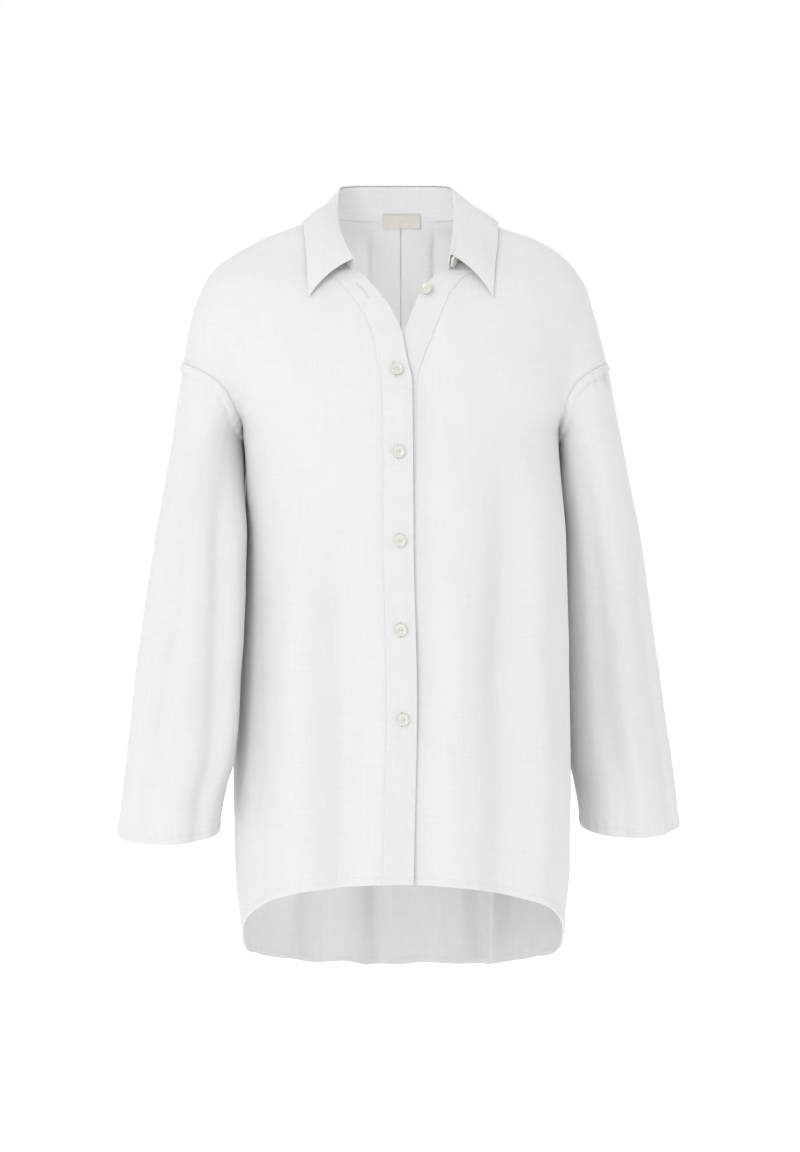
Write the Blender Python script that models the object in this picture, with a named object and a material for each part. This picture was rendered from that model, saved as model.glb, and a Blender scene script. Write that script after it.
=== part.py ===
"""A filled-out white blouse: two fronts, a longer back with a box pleat, wide sleeves, collar and buttons.

Metres, +Z up. The front faces -Y and the wearer's left is +X. The origin lies level with the base of
the neck, on the centre line, where the shoulders carry the garment.
"""
import math

import bpy
import numpy as np
from mathutils import Vector

# Cloth and seams
CLOTH = 0.0014            # wall of one panel, seam allowances included
BACK_CLOTH = 0.0012
BAND_CLOTH = 0.0010       # each front band, over its panel
SEAM_GAP = 0.0003
HALF_GAP = SEAM_GAP / 2

# Heights
UNDERARM_Z = -0.215
ARMHOLE_TOP_Z = -0.140
NECK_POINT_Z = 0.012
HEM_SIDE_Z = -0.731
HEM_FRONT_RISE = 0.070    # the front hem curves up from the side seam
HEM_BACK_DROP = 0.039     # the back hem curves down from it
HEM_BEND_Z = -0.45        # the cloth's level lines are flat above this height
HEM_CURVE = 2.4
NECK_BACK_DROP = 0.002

# Front closure
BAND_WIDTH = 0.030
LAP_DEPTH = 0.0034        # the under lap lies this much further in
LAP_FULL = 0.020
LAP_END = 0.048

# Centre-back box pleat
PLEAT_HALF = 0.0315
PLEAT_OUTER_RADIUS = 0.0016
PLEAT_INNER_RADIUS = 0.0005
PLEAT_OPEN_Z = -0.42      # folded flat at the neck, only a soft wave below this height
PLEAT_LIFT = 0.010        # it stands off the back as it opens

SUPERELLIPSE = 2.4        # how square the body's sections are
UNION_POWER = 8           # how softly body and arm melt together above the underarm
RIGHT, LEFT = -1, 1       # the wearer's sides, as the sign of X

# Body sections. half widths, depth of the side line, and centre front and centre back.
BODY_COLUMNS = ("z", "r_half", "l_half", "r_side", "l_side", "front", "back")
BODY_SECTIONS = (
    (0.030, 0.0400, 0.0400, 0.000, 0.000, 0.032, 0.0630),
    (0.012, 0.0745, 0.0745, 0.000, 0.000, 0.034, 0.0665),
    (0.003, 0.0930, 0.0880, 0.000, 0.000, 0.038, 0.0690),
    (-0.003, 0.1080, 0.1000, 0.000, 0.000, 0.041, 0.0710),
    (-0.0153, 0.1410, 0.1360, 0.000, 0.000, 0.047, 0.0760),
    (-0.0316, 0.1710, 0.1630, 0.000, 0.000, 0.0575, 0.0830),
    (-0.048, 0.1920, 0.1780, 0.000, 0.000, 0.0715, 0.0890),
    (-0.064, 0.1985, 0.1865, 0.000, 0.000, 0.0830, 0.0950),
    (-0.097, 0.1960, 0.1860, 0.000, 0.000, 0.0970, 0.1060),
    (-0.121, 0.1910, 0.1830, 0.000, 0.000, 0.1035, 0.1120),
    (-0.176, 0.1740, 0.1770, 0.000, 0.000, 0.1115, 0.1195),
    (-0.1925, 0.1695, 0.1700, 0.000, 0.000, 0.1130, 0.1220),
    (-0.202, 0.1638, 0.1638, 0.000, 0.000, 0.1140, 0.1230),
    (-0.2095, 0.1608, 0.1608, 0.000, 0.000, 0.1150, 0.1237),
    (-0.215, 0.1597, 0.1597, 0.000, 0.000, 0.1155, 0.1240),
    (-0.250, 0.1560, 0.1605, 0.004, -0.004, 0.118, 0.1260),
    (-0.320, 0.1590, 0.1670, 0.012, -0.010, 0.121, 0.1290),
    (-0.440, 0.1640, 0.1690, 0.015, -0.012, 0.126, 0.1350),
    (-0.560, 0.1670, 0.1710, 0.012, -0.010, 0.131, 0.1410),
    (-0.650, 0.1680, 0.1705, 0.004, -0.004, 0.134, 0.1460),
    (-0.731, 0.1610, 0.1650, 0.000, 0.000, 0.136, 0.1490),
    (-0.790, 0.1590, 0.1630, 0.000, 0.000, 0.136, 0.1500),
)

# Arm sections: distance of the outer and inner edge from the centre line, depth before and behind the
# arm's own centre, and how far that centre lies forward or back.
ARM_COLUMNS = ("z", "outer", "inner", "front", "back", "centre")
ARM_SECTIONS = {
    RIGHT: (
        (0.012, 0.0745, 0.040, 0.020, 0.020, 0.0),
        (0.003, 0.0930, 0.050, 0.020, 0.024, 0.0),
        (-0.003, 0.1080, 0.060, 0.024, 0.030, 0.0),
        (-0.0153, 0.1410, 0.075, 0.032, 0.040, 0.0),
        (-0.0316, 0.1710, 0.090, 0.040, 0.048, 0.0),
        (-0.048, 0.1920, 0.100, 0.047, 0.052, 0.0),
        (-0.064, 0.2020, 0.105, 0.053, 0.055, 0.0),
        (-0.0806, 0.2088, 0.108, 0.057, 0.057, 0.0),
        (-0.097, 0.2140, 0.112, 0.058, 0.058, 0.0),
        (-0.121, 0.2185, 0.120, 0.059, 0.059, 0.0),
        (-0.176, 0.2272, 0.1425, 0.059, 0.058, 0.0),
        (-0.1925, 0.2297, 0.1500, 0.0585, 0.057, 0.0),
        (-0.202, 0.2310, 0.1555, 0.058, 0.0565, 0.0),
        (-0.2095, 0.2320, 0.1590, 0.0575, 0.056, 0.0),
        (-0.215, 0.2328, 0.1602, 0.057, 0.055, 0.0),
        (-0.250, 0.2375, 0.1630, 0.056, 0.054, -0.010),
        (-0.320, 0.2470, 0.1600, 0.054, 0.053, -0.035),
        (-0.440, 0.2640, 0.1620, 0.050, 0.050, -0.052),
        (-0.560, 0.2780, 0.1750, 0.047, 0.047, -0.055),
        (-0.640, 0.2870, 0.1870, 0.045, 0.045, -0.055),
    ),
    LEFT: (
        (0.012, 0.0745, 0.040, 0.020, 0.020, 0.0),
        (0.003, 0.0880, 0.050, 0.020, 0.024, 0.0),
        (-0.003, 0.1000, 0.060, 0.024, 0.030, 0.0),
        (-0.0153, 0.1360, 0.075, 0.030, 0.040, 0.0),
        (-0.0316, 0.1630, 0.090, 0.037, 0.049, 0.0),
        (-0.048, 0.1780, 0.100, 0.042, 0.054, 0.0),
        (-0.064, 0.1885, 0.105, 0.046, 0.058, 0.0),
        (-0.0806, 0.1930, 0.108, 0.049, 0.060, 0.0),
        (-0.097, 0.1980, 0.112, 0.050, 0.062, 0.0),
        (-0.121, 0.2040, 0.120, 0.050, 0.064, 0.0),
        (-0.176, 0.2168, 0.1425, 0.049, 0.064, 0.0),
        (-0.1925, 0.2200, 0.1500, 0.0485, 0.063, 0.0),
        (-0.202, 0.2219, 0.1555, 0.048, 0.062, 0.0),
        (-0.2095, 0.2234, 0.1590, 0.048, 0.061, 0.0),
        (-0.215, 0.2245, 0.1602, 0.048, 0.060, 0.0),
        (-0.250, 0.2320, 0.1680, 0.050, 0.058, 0.012),
        (-0.320, 0.2460, 0.1710, 0.053, 0.054, 0.034),
        (-0.440, 0.2630, 0.1730, 0.051, 0.051, 0.046),
        (-0.560, 0.2810, 0.1790, 0.048, 0.048, 0.044),
        (-0.640, 0.2900, 0.1890, 0.046, 0.046, 0.040),
    ),
}
CUFF_MIDDLE_Z = -0.6130
CUFF_TILT = 0.0120        # the cuff hangs lower in front than behind

# Front edges: distance from the centre line on the panel's own side, negative past the centre.
EDGE_COLUMNS = ("z", "right", "left")
FRONT_EDGES = (
    (0.012, 0.0715, 0.0715),
    (0.000, 0.0710, 0.0710),
    (-0.020, 0.0670, 0.0670),
    (-0.036, 0.0600, 0.0600),
    (-0.046, 0.0550, 0.0545),
    (-0.0515, 0.0500, 0.0480),
    (-0.058, 0.0370, 0.0345),
    (-0.066, 0.0305, 0.0270),
    (-0.0765, 0.0210, 0.0185),
    (-0.090, 0.0115, 0.0125),
    (-0.105, 0.0035, 0.0065),
    (-0.1173, -0.0010, 0.0020),
    (-0.1423, -0.0060, -0.0080),
    (-0.1643, -0.0110, -0.0140),
    (-0.342, -0.0126, -0.0160),
    (-0.480, -0.0157, -0.0160),
    (-0.598, -0.0137, -0.0150),
    (-0.731, -0.0105, -0.0150),
)
BAND_TOP_Z = -0.0515

# Soft folds: X at the top and bottom (top_x, low_x), the heights they run between (top_z, low_z), half
# width and depth (negative is a trough).
FRONT_FOLDS = (
    (-0.055, -0.062, -0.30, -0.80, 0.016, -0.0050),
    (-0.098, -0.104, -0.26, -0.80, 0.020, 0.0045),
    (0.075, 0.062, -0.24, -0.80, 0.018, 0.0030),
    (0.112, 0.104, -0.18, -0.80, 0.017, -0.0050),
)
BACK_FOLDS = (
    (-0.075, -0.090, -0.22, -0.85, 0.020, 0.0060),
    (-0.110, -0.122, -0.30, -0.85, 0.015, -0.0050),
    (0.072, 0.083, -0.26, -0.85, 0.015, -0.0075),
    (0.100, 0.108, -0.24, -0.85, 0.014, 0.0070),
)
SLEEVE_FOLDS = {          # around the sleeve in degrees from the underarm, front first
    RIGHT: ((60, 48, -0.23, -0.55, 14, -0.0040), (120, 132, -0.20, -0.70, 20, 0.0030),
            (235, 245, -0.23, -0.70, 16, -0.0040)),
    LEFT: ((70, 85, -0.24, -0.66, 18, -0.0040), (140, 128, -0.24, -0.70, 18, 0.0030),
           (250, 240, -0.23, -0.70, 16, -0.0040)),
}

# Collar, from its front end (0) to the centre back (1). The roll line is the fold atop the stand, and
# the leaf's edge lies on the fronts and back, lifted off them.
ROLL_COLUMNS = ("f", "right", "left", "y", "z")
ROLL_LINE = (
    (0.00, 0.0460, 0.0478, -0.0870, -0.0455),
    (0.14, 0.0565, 0.0520, -0.0670, -0.0250),
    (0.31, 0.0640, 0.0545, -0.0350, -0.0010),
    (0.51, 0.0650, 0.0550, 0.0020, 0.0220),
    (0.69, 0.0620, 0.0515, 0.0300, 0.0400),
    (0.84, 0.0380, 0.0330, 0.0530, 0.0448),
    (1.00, 0.0000, 0.0000, 0.0590, 0.0455),
)
LEAF_COLUMNS = ("f", "right", "left", "z", "lift")
LEAF_EDGE = (
    (0.00, 0.0916, 0.0912, -0.0780, 0.0060),
    (0.14, 0.0940, 0.0940, -0.0480, 0.0040),
    (0.29, 0.0975, 0.0970, -0.0225, 0.0036),
    (0.46, 0.1030, 0.0980, -0.0030, 0.0046),
    (0.54, 0.1020, 0.0970, -0.0035, 0.0050),
    (0.69, 0.0800, 0.0790, -0.0060, 0.0055),
    (0.84, 0.0460, 0.0460, -0.0070, 0.0095),
    (1.00, 0.0000, 0.0000, -0.0075, 0.0100),
)
LEAF_START = 0.045        # the leaf starts this far behind the stand's front end
SHOULDER_F = 0.50         # the collar passes the shoulder seam here
LEAF_CLOTH = 0.0014
ROLL_RISE = 0.0019
ROLL_OUT = 0.0028
LEAF_BULGE = 0.0055
LEAF_CLEAR = 0.0036       # the leaf's outer face over what it lies on
STAND_SEAT = 0.0019       # the stand starts this far from the panels' edge

# Label
LABEL_LEFT_X, LABEL_RIGHT_X = 0.0197, -0.0187
LABEL_TOP_Z, LABEL_LOW_Z = 0.0165, 0.0030
LABEL_CLOTH = 0.0008

# Buttons
BUTTON_RADIUS = 0.0060
BUTTON_THICKNESS = 0.0026
BUTTON_PLACES = ((-0.0040, -0.1536), (-0.0020, -0.2356), (-0.0010, -0.3234), (0.0000, -0.4113),
                 (0.0020, -0.4992))

# Level lines of the panels
UPPER_LEVELS = (0.012, 0.004, -0.006, -0.018, -0.032, -0.0435, -0.0515, -0.060, -0.070, -0.083,
                -0.100, -0.1173, -0.129)
LOWER_LEVELS = (-0.235, -0.270, -0.320, -0.380, -0.450, -0.530, -0.610, -0.680, HEM_SIDE_Z)
SEAM_LEVELS = (UNDERARM_Z, -0.2095, -0.2020, -0.1925, -0.1780, -0.1650, -0.1560, -0.1498, -0.1452,
               -0.1419, ARMHOLE_TOP_Z)      # armhole seam, at equal angles from the underarm to the top
ARM_SIDES = 2 * (len(SEAM_LEVELS) - 1)
BAND_SHARES = (0.0, 0.35, 0.7, 1.0)
FRONT_COLUMNS = 8         # beyond the band
BACK_PLAIN_COLUMNS = 7

WHITE = (0.89, 0.89, 0.89)
PEARL = (0.86, 0.85, 0.80)
BEIGE = (0.78, 0.75, 0.70)


def clear_scene():
    for old in list(bpy.data.objects):
        bpy.data.objects.remove(old, do_unlink=True)


def material(name, color, roughness):
    shade = bpy.data.materials.new(name)
    shade.use_nodes = True
    surface = shade.node_tree.nodes["Principled BSDF"]
    surface.inputs["Base Color"].default_value = (*color, 1.0)
    surface.inputs["Roughness"].default_value = roughness
    surface.inputs["Metallic"].default_value = 0.0
    return shade


class Table:
    """A short table of sections, read at any place between its rows along a smooth curve."""

    def __init__(self, columns, rows):
        ordered = sorted(rows)
        self.at = np.array([row[0] for row in ordered])
        self.values = {}
        self.slopes = {}
        for place, name in enumerate(columns[1:], start=1):
            column = np.array([row[place] for row in ordered])
            steps = np.diff(column) / np.diff(self.at)
            slope = np.zeros(len(column))
            slope[0], slope[-1] = steps[0], steps[-1]
            same_way = steps[:-1] * steps[1:] > 0
            total = np.where(same_way, steps[:-1] + steps[1:], 1.0)
            slope[1:-1] = np.where(same_way, 2 * steps[:-1] * steps[1:] / total, 0.0)
            self.values[name] = column
            self.slopes[name] = slope

    def read(self, name, where):
        where = min(max(where, self.at[0]), self.at[-1])
        row = min(int(np.searchsorted(self.at, where, side="right")) - 1, len(self.at) - 2)
        span = self.at[row + 1] - self.at[row]
        t = (where - self.at[row]) / span
        low, high = self.values[name][row:row + 2]
        leave, arrive = self.slopes[name][row:row + 2]
        return ((2 * t**3 - 3 * t**2 + 1) * low + (t**3 - 2 * t**2 + t) * span * leave
                + (3 * t**2 - 2 * t**3) * high + (t**3 - t**2) * span * arrive)


BODY = Table(BODY_COLUMNS, BODY_SECTIONS)
ARMS = {side: Table(ARM_COLUMNS, rows) for side, rows in ARM_SECTIONS.items()}
EDGES = Table(EDGE_COLUMNS, FRONT_EDGES)
ROLL = Table(ROLL_COLUMNS, ROLL_LINE)
LEAF = Table(LEAF_COLUMNS, LEAF_EDGE)
SIDE_WORD = {RIGHT: "right", LEFT: "left"}


def smooth(t):
    t = min(max(t, 0.0), 1.0)
    return t * t * (3 - 2 * t)


def arm_lobe(side, facing, z):
    """Centre, half width and depth of the arm's section, in front (-1) or behind (1)."""
    arm = ARMS[side]
    outer, inner = arm.read("outer", z), arm.read("inner", z)
    return (outer + inner) / 2, (outer - inner) / 2, arm.read("front" if facing < 0 else "back", z)


def joined_depth(side, facing, z, x):
    """Depth of the section at a distance x from the centre, body and arm melted together."""
    letter = "r_" if side == RIGHT else "l_"
    half = BODY.read(letter + "half", z)
    side_line = BODY.read(letter + "side", z)
    middle = BODY.read("back", z) - side_line if facing > 0 else BODY.read("front", z) + side_line
    body = middle * np.clip(1 - np.clip(x / half, 0, 1)**SUPERELLIPSE, 0, 1)**(1 / SUPERELLIPSE)
    if z <= UNDERARM_Z:
        return body
    centre, width, depth = arm_lobe(side, facing, z)
    arm = depth * np.sqrt(np.clip(1 - ((x - centre) / width)**2, 0, 1))
    return (body**UNION_POWER + arm**UNION_POWER)**(1 / UNION_POWER)


OUTLINES = {}


def outline(side, facing, z):
    """Half a section from the centre line to the outermost point: run along the cloth, x and y."""
    key = (side, facing, round(z, 7))
    if key not in OUTLINES:
        letter = "r_" if side == RIGHT else "l_"
        reach = BODY.read(letter + "half", z)
        if z > UNDERARM_Z:
            reach = max(reach, ARMS[side].read("outer", z))
        x = reach * np.sin(np.linspace(0, math.pi / 2, 241))
        y = BODY.read(letter + "side", z) + facing * joined_depth(side, facing, z, x)
        run = np.concatenate(([0.0], np.cumsum(np.hypot(np.diff(x), np.diff(y)))))
        OUTLINES[key] = (run, x, y)
    return OUTLINES[key]


def form_point(side, facing, run, z):
    """Point of the body's form, at a run along the cloth from the centre (negative crosses it)."""
    runs, xs, ys = outline(side if run >= 0 else -side, facing, z)
    across = abs(run)
    x = np.interp(across, runs, xs)
    return np.array((side * math.copysign(x, run), np.interp(across, runs, ys), z))


def form_normal(side, facing, run, z):
    step, rise = 0.0012, 0.002
    end = outline(side, facing, z)[0][-1]
    high = min(run + step, end)
    along = form_point(side, facing, high, z) - form_point(side, facing, high - 2 * step, z)
    above = z + rise if z > UNDERARM_Z else min(z + rise, UNDERARM_Z)
    below = z - rise if z <= UNDERARM_Z else max(z - rise, UNDERARM_Z + 0.0001)
    up = form_point(side, facing, run, above) - form_point(side, facing, run, below)
    normal = np.cross(along, up) * (-side * facing)
    return normal / np.linalg.norm(normal)


def run_at(side, facing, x, z):
    """Run along the cloth to a distance x from the centre line."""
    runs, xs, _ = outline(side, facing, z)
    return math.copysign(np.interp(abs(x), xs, runs), x)


def placed(side, facing, run, height, z):
    return form_point(side, facing, run, z) + form_normal(side, facing, run, z) * height


ARMHOLE_LEVELS = {z: 2 * math.pi * step / ARM_SIDES for step, z in enumerate(SEAM_LEVELS)}
LEVELS = list(UPPER_LEVELS) + sorted(ARMHOLE_LEVELS, reverse=True) + list(LOWER_LEVELS)


def outer_run(side, facing, z):
    """Run at which a panel ends: at the shoulder, armhole or side seam."""
    if z in ARMHOLE_LEVELS and z > UNDERARM_Z:
        centre, width, _ = arm_lobe(side, facing, z)
        return run_at(side, facing, centre - width * math.cos(ARMHOLE_LEVELS[z]), z)
    return outline(side, facing, z)[0][-1]


def hem_shift(facing, share, z):
    """How far a level line bends up or down on its way to the curved hem."""
    bend = smooth((HEM_BEND_Z - z) / (HEM_BEND_Z - HEM_SIDE_Z))
    reach = HEM_FRONT_RISE if facing < 0 else -HEM_BACK_DROP
    return bend * reach * (1 - share**HEM_CURVE)


def fold_height(folds, x, z):
    """Height of the soft folds at a place on a panel."""
    height = 0.0
    for top_x, low_x, top_z, low_z, width, depth in folds:
        down = (top_z - z) / (top_z - low_z)
        fade = smooth(down * 3.0)
        centre = top_x + (low_x - top_x) * min(max(down, 0), 1)
        height += depth * fade * math.exp(-((x - centre) / width)**2)
    return height


def lap_height(x, z):
    """The under lap runs behind the upper one and comes level with it further out."""
    return -LAP_DEPTH * (1 - smooth((x - LAP_FULL) / (LAP_END - LAP_FULL))) * smooth((-0.06 - z) / 0.04)


def front_height(side, run, z):
    """Height of a front over the body's form: soft folds, and the step where it runs under the lap."""
    x = form_point(side, -1, run, z)[0]
    height = fold_height(FRONT_FOLDS, x, z)
    return height + lap_height(x, z) if side == LEFT else height


def shell(name, outer, inner, shade, around=False):
    """Closed wall between two grids of points, rows by columns."""
    rows, columns = outer.shape[:2]
    count = rows * columns
    points = np.concatenate((outer.reshape(-1, 3), inner.reshape(-1, 3)))
    faces = []
    last = columns if around else columns - 1
    for row in range(rows - 1):
        for column in range(last):
            a = row * columns + column
            b = row * columns + (column + 1) % columns
            faces.append((a, b, b + columns, a + columns))
            faces.append((a + count, a + columns + count, b + columns + count, b + count))
    for column in range(last):
        b = (column + 1) % columns
        low = (rows - 1) * columns
        faces.append((b, column, column + count, b + count))
        faces.append((low + column, low + b, low + b + count, low + column + count))
    if not around:
        for row in range(rows - 1):
            a = row * columns
            b = a + columns - 1
            faces.append((a, a + columns, a + columns + count, a + count))
            faces.append((b + columns, b, b + count, b + columns + count))
    mesh = bpy.data.meshes.new(name)
    mesh.from_pydata(points.tolist(), [], faces)
    mesh.validate()
    if signed_volume(mesh) < 0:
        mesh.flip_normals()
    mesh.shade_smooth()
    mesh.set_sharp_from_angle(angle=math.radians(50))
    mesh.materials.append(shade)
    piece = bpy.data.objects.new(name, mesh)
    bpy.context.scene.collection.objects.link(piece)
    return piece


def signed_volume(mesh):
    mesh.calc_loop_triangles()
    total = 0.0
    for triangle in mesh.loop_triangles:
        a, b, c = (mesh.vertices[index].co for index in triangle.vertices)
        total += a.dot(b.cross(c)) / 6
    return total


def profile_normals(runs, heights):
    """Directions square to a cloth profile, flat on its two ends."""
    dr = np.gradient(runs)
    dh = np.gradient(heights)
    length = np.hypot(dr, dh)
    normals = np.stack((-dh / length, dr / length), axis=1)
    normals[0] = normals[-1] = (0.0, 1.0)
    return normals


def front_place(side, level, column):
    """Run, height and share of the panel at a column: the band's own columns, then the rest."""
    start = run_at(side, -1, EDGES.read(SIDE_WORD[side], level), level)
    end = outer_run(side, -1, level) - HALF_GAP
    band = min(BAND_WIDTH, 0.4 * (end - start))
    last = len(BAND_SHARES) - 1
    if column <= last:
        run = start + band * BAND_SHARES[column]
    else:
        run = start + band + (end - start - band) * (column - last) / FRONT_COLUMNS
    share = (run - start) / (end - start)
    z = level + hem_shift(-1, share, level)
    if z != level:
        start = run_at(side, -1, EDGES.read(SIDE_WORD[side], z), z)
        run = start + share * (outer_run(side, -1, z) - HALF_GAP - start)
    return run, z, share


def front_panel(side, shade):
    """One front: from its band edge or neckline out to the shoulder, armhole and side seam."""
    outer, inner = [], []
    for level in LEVELS:
        row_out, row_in = [], []
        for column in range(len(BAND_SHARES) + FRONT_COLUMNS):
            run, z, share = front_place(side, level, column)
            height = front_height(side, run, z) * (1 - share**6)
            row_out.append(placed(side, -1, run, height, z))
            row_in.append(placed(side, -1, run, height - CLOTH, z))
        outer.append(row_out)
        inner.append(row_in)
    return shell("front_" + SIDE_WORD[side], np.array(outer), np.array(inner), shade)


def pleat_profile():
    """Right half of the folded pleat: run and height of the cloth's outer face, and cloth length."""
    top = 2 * (PLEAT_OUTER_RADIUS + PLEAT_INNER_RADIUS)
    tip = PLEAT_INNER_RADIUS + BACK_CLOTH + 0.0008
    points = [(PLEAT_HALF * share, top) for share in (0.0, 0.35, 0.7, 1.0)]
    for degrees in (45, 90, 135, 180):
        turn = math.radians(degrees)
        points.append((PLEAT_HALF + PLEAT_OUTER_RADIUS * math.sin(turn),
                       top - PLEAT_OUTER_RADIUS * (1 - math.cos(turn))))
    low = top - 2 * PLEAT_OUTER_RADIUS
    points += [(PLEAT_HALF * 0.55, low), (tip, low)]
    for degrees in (60, 120, 180):
        turn = math.radians(degrees)
        points.append((tip - PLEAT_INNER_RADIUS * math.sin(turn),
                       low - PLEAT_INNER_RADIUS * (1 - math.cos(turn))))
    return np.array(points)


PLEAT = pleat_profile()


def back_profile(side, z, end):
    """Half a level line of the back: runs and heights, pleat first, then the plain cloth."""
    closed = 1 - smooth((-0.10 - z) / (-0.10 - PLEAT_OPEN_Z))
    plain = np.linspace(0, 1, BACK_PLAIN_COLUMNS + 1)[1:]
    last_fold = PLEAT[-1][0]
    folded = np.concatenate((PLEAT[:, 0], last_fold + plain * (end - last_fold)))
    cloth = np.concatenate(([0], np.cumsum(np.hypot(*np.diff(PLEAT, axis=0).T))))
    spread = cloth / cloth[-1] * 0.34 * end
    opened = np.concatenate((spread, spread[-1] + plain * (end - spread[-1])))
    runs = folded * closed + opened * (1 - closed)
    wave = 0.011 * np.cos(math.pi * opened / (0.36 * end)) * np.exp(-(opened / (0.40 * end))**4)
    heights = np.concatenate((PLEAT[:, 1], np.zeros(len(plain)))) * closed + wave * (1 - closed)
    heights[:len(PLEAT)] += PLEAT_LIFT * 4 * closed * (1 - closed) * (1 - cloth / cloth[-1])
    fade = 1 - (np.clip(runs / end, 0, 1))**6
    xs = [side * abs(form_point(side, 1, run, z)[0]) for run in runs]
    folds = np.array([fold_height(BACK_FOLDS, x, z) for x in xs]) * fade * (1 - closed)
    return runs, heights + folds


def back_top(share, z):
    """The back neckline dips a little towards the centre."""
    return -NECK_BACK_DROP * (1 - share**2) * smooth((z + 0.03) / (NECK_POINT_Z + 0.03))


def back_panel(shade):
    """One back panel with a centre box pleat, folded under the collar and opening to the hem."""
    outer, inner = [], []
    for level in LEVELS:
        halves = {}
        for side in (RIGHT, LEFT):
            end = outer_run(side, 1, level) - HALF_GAP
            runs, _ = back_profile(side, level, end)
            points_out, points_in = [], []
            for column, run in enumerate(runs):
                share = min(run / end, 1.0)
                z = level + hem_shift(1, share, level) + back_top(share, level)
                row_end = end if z == level else outer_run(side, 1, z) - HALF_GAP
                row_runs, heights = back_profile(side, z, row_end)
                normals = profile_normals(row_runs, heights)
                if column == 0:
                    normals[0] = (0.0, 1.0)
                row_run, height = row_runs[column], heights[column]
                low = height - BACK_CLOTH * normals[column][1]
                inside = row_run - BACK_CLOTH * normals[column][0]
                points_out.append(placed(side, 1, row_run, height, z))
                points_in.append(placed(side, 1, inside, low, z))
            halves[side] = (points_out, points_in)
        outer.append(halves[RIGHT][0][:0:-1] + halves[LEFT][0])
        inner.append(halves[RIGHT][1][:0:-1] + halves[LEFT][1])
    return shell("back", np.array(outer), np.array(inner), shade)


def sleeve_point(side, angle, z, height):
    """Point of the sleeve at an angle around the arm, raised by a height along its normal."""
    facing = -1 if angle <= math.pi else 1
    centre, width, depth = arm_lobe(side, facing, z)
    x = centre - width * math.cos(angle)
    if z > UNDERARM_Z:
        run = run_at(side, facing, x, z)
        return placed(side, facing, run, height, z)
    middle = ARMS[side].read("centre", z)
    y = middle - depth * math.sin(angle)
    normal = np.array((-math.cos(angle) / width, -math.sin(angle) / depth))
    normal = normal / np.linalg.norm(normal)
    return np.array((side * (x + normal[0] * height), y + normal[1] * height, z))


def sleeve(side, shade):
    """A wide straight sleeve from the dropped armhole to a plain hem."""
    angles = [2 * math.pi * step / ARM_SIDES for step in range(ARM_SIDES)]
    downs = (0.0, 0.05, 0.11, 0.18, 0.26, 0.35, 0.45, 0.55, 0.66, 0.77, 0.88, 1.0)
    outer, inner = [], []
    for down in downs:
        row_out, row_in = [], []
        for angle in angles:
            step = round(angle / (2 * math.pi / ARM_SIDES))
            top = SEAM_LEVELS[min(step, ARM_SIDES - step)] - 2 * SEAM_GAP
            cuff = CUFF_MIDDLE_Z - CUFF_TILT * math.sin(angle)
            z = top + (cuff - top) * down
            height = fold_height(SLEEVE_FOLDS[side], math.degrees(angle), z) if z < UNDERARM_Z else 0
            row_out.append(sleeve_point(side, angle, z, height))
            row_in.append(sleeve_point(side, angle, z, height - CLOTH))
        outer.append(row_out)
        inner.append(row_in)
    return shell("sleeve_" + SIDE_WORD[side], np.array(outer), np.array(inner), shade, around=True)


def placket(side, shade):
    """A straight band along a front edge, laid on the panel and raised off it."""
    outer, inner = [], []
    for level in [level for level in LEVELS if level <= BAND_TOP_Z]:
        row_out, row_in = [], []
        for column in range(len(BAND_SHARES)):
            run, z, share = front_place(side, level, column)
            height = front_height(side, run, z) * (1 - share**6) + SEAM_GAP
            row_out.append(placed(side, -1, run, height + BAND_CLOTH, z))
            row_in.append(placed(side, -1, run, height, z))
        outer.append(row_out)
        inner.append(row_in)
    return shell("placket_" + SIDE_WORD[side], np.array(outer), np.array(inner), shade)


def neck_line(side):
    """Points of the neck seam from the front end to the centre back, and their place along it."""
    points = []
    for level in reversed(UPPER_LEVELS):
        if level >= BAND_TOP_Z:
            points.append(form_point(side, -1, run_at(side, -1, EDGES.read(SIDE_WORD[side], level), level),
                                     level))
    last = len(BAND_SHARES) + FRONT_COLUMNS - 1
    for column in (last - 6, last - 3, last):
        run, z, _ = front_place(side, NECK_POINT_Z, column)
        points.append(form_point(side, -1, run, z))
    end = outer_run(side, 1, NECK_POINT_Z) - HALF_GAP
    tip = PLEAT[-1][0]
    for share in np.linspace(1, 0, BACK_PLAIN_COLUMNS + 1)[1:]:
        run = tip + share * (end - tip)
        points.append(form_point(side, 1, run, NECK_POINT_Z + back_top(run / end, NECK_POINT_Z)))
    points.append(form_point(side, 1, 0.0, NECK_POINT_Z + back_top(0.0, NECK_POINT_Z)))
    steps = np.linalg.norm(np.diff(points, axis=0), axis=1)
    along = np.concatenate(([0.0], np.cumsum(steps)))
    return list(zip(along / along[-1], points))


def roll_point(side, f):
    return np.array((side * ROLL.read(SIDE_WORD[side], f), ROLL.read("y", f), ROLL.read("z", f)))


def leaf_point(side, f):
    z = LEAF.read("z", f)
    facing = -1 if f <= SHOULDER_F else 1
    x = min(LEAF.read(SIDE_WORD[side], f), ARMS[side].read("outer", z))
    return placed(side, facing, run_at(side, facing, x, z), LEAF.read("lift", f), z)


def inside_form(point):
    """Whether a point lies within the body's form."""
    x, y, z = point
    side = RIGHT if x < 0 else LEFT
    facing = -1 if y < 0 else 1
    _, xs, ys = outline(side, facing, min(z, NECK_POINT_Z + 0.01))
    return abs(x) < xs[-1] and z < NECK_POINT_Z and abs(y) < abs(np.interp(abs(x), xs, ys))


def around_neck():
    """Side, place and seam point around the collar, from the right front end to the left one."""
    right = [(RIGHT, f, point) for f, point in neck_line(RIGHT)]
    left = [(LEFT, f, point) for f, point in neck_line(LEFT)]
    return right + left[-2::-1]


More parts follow.
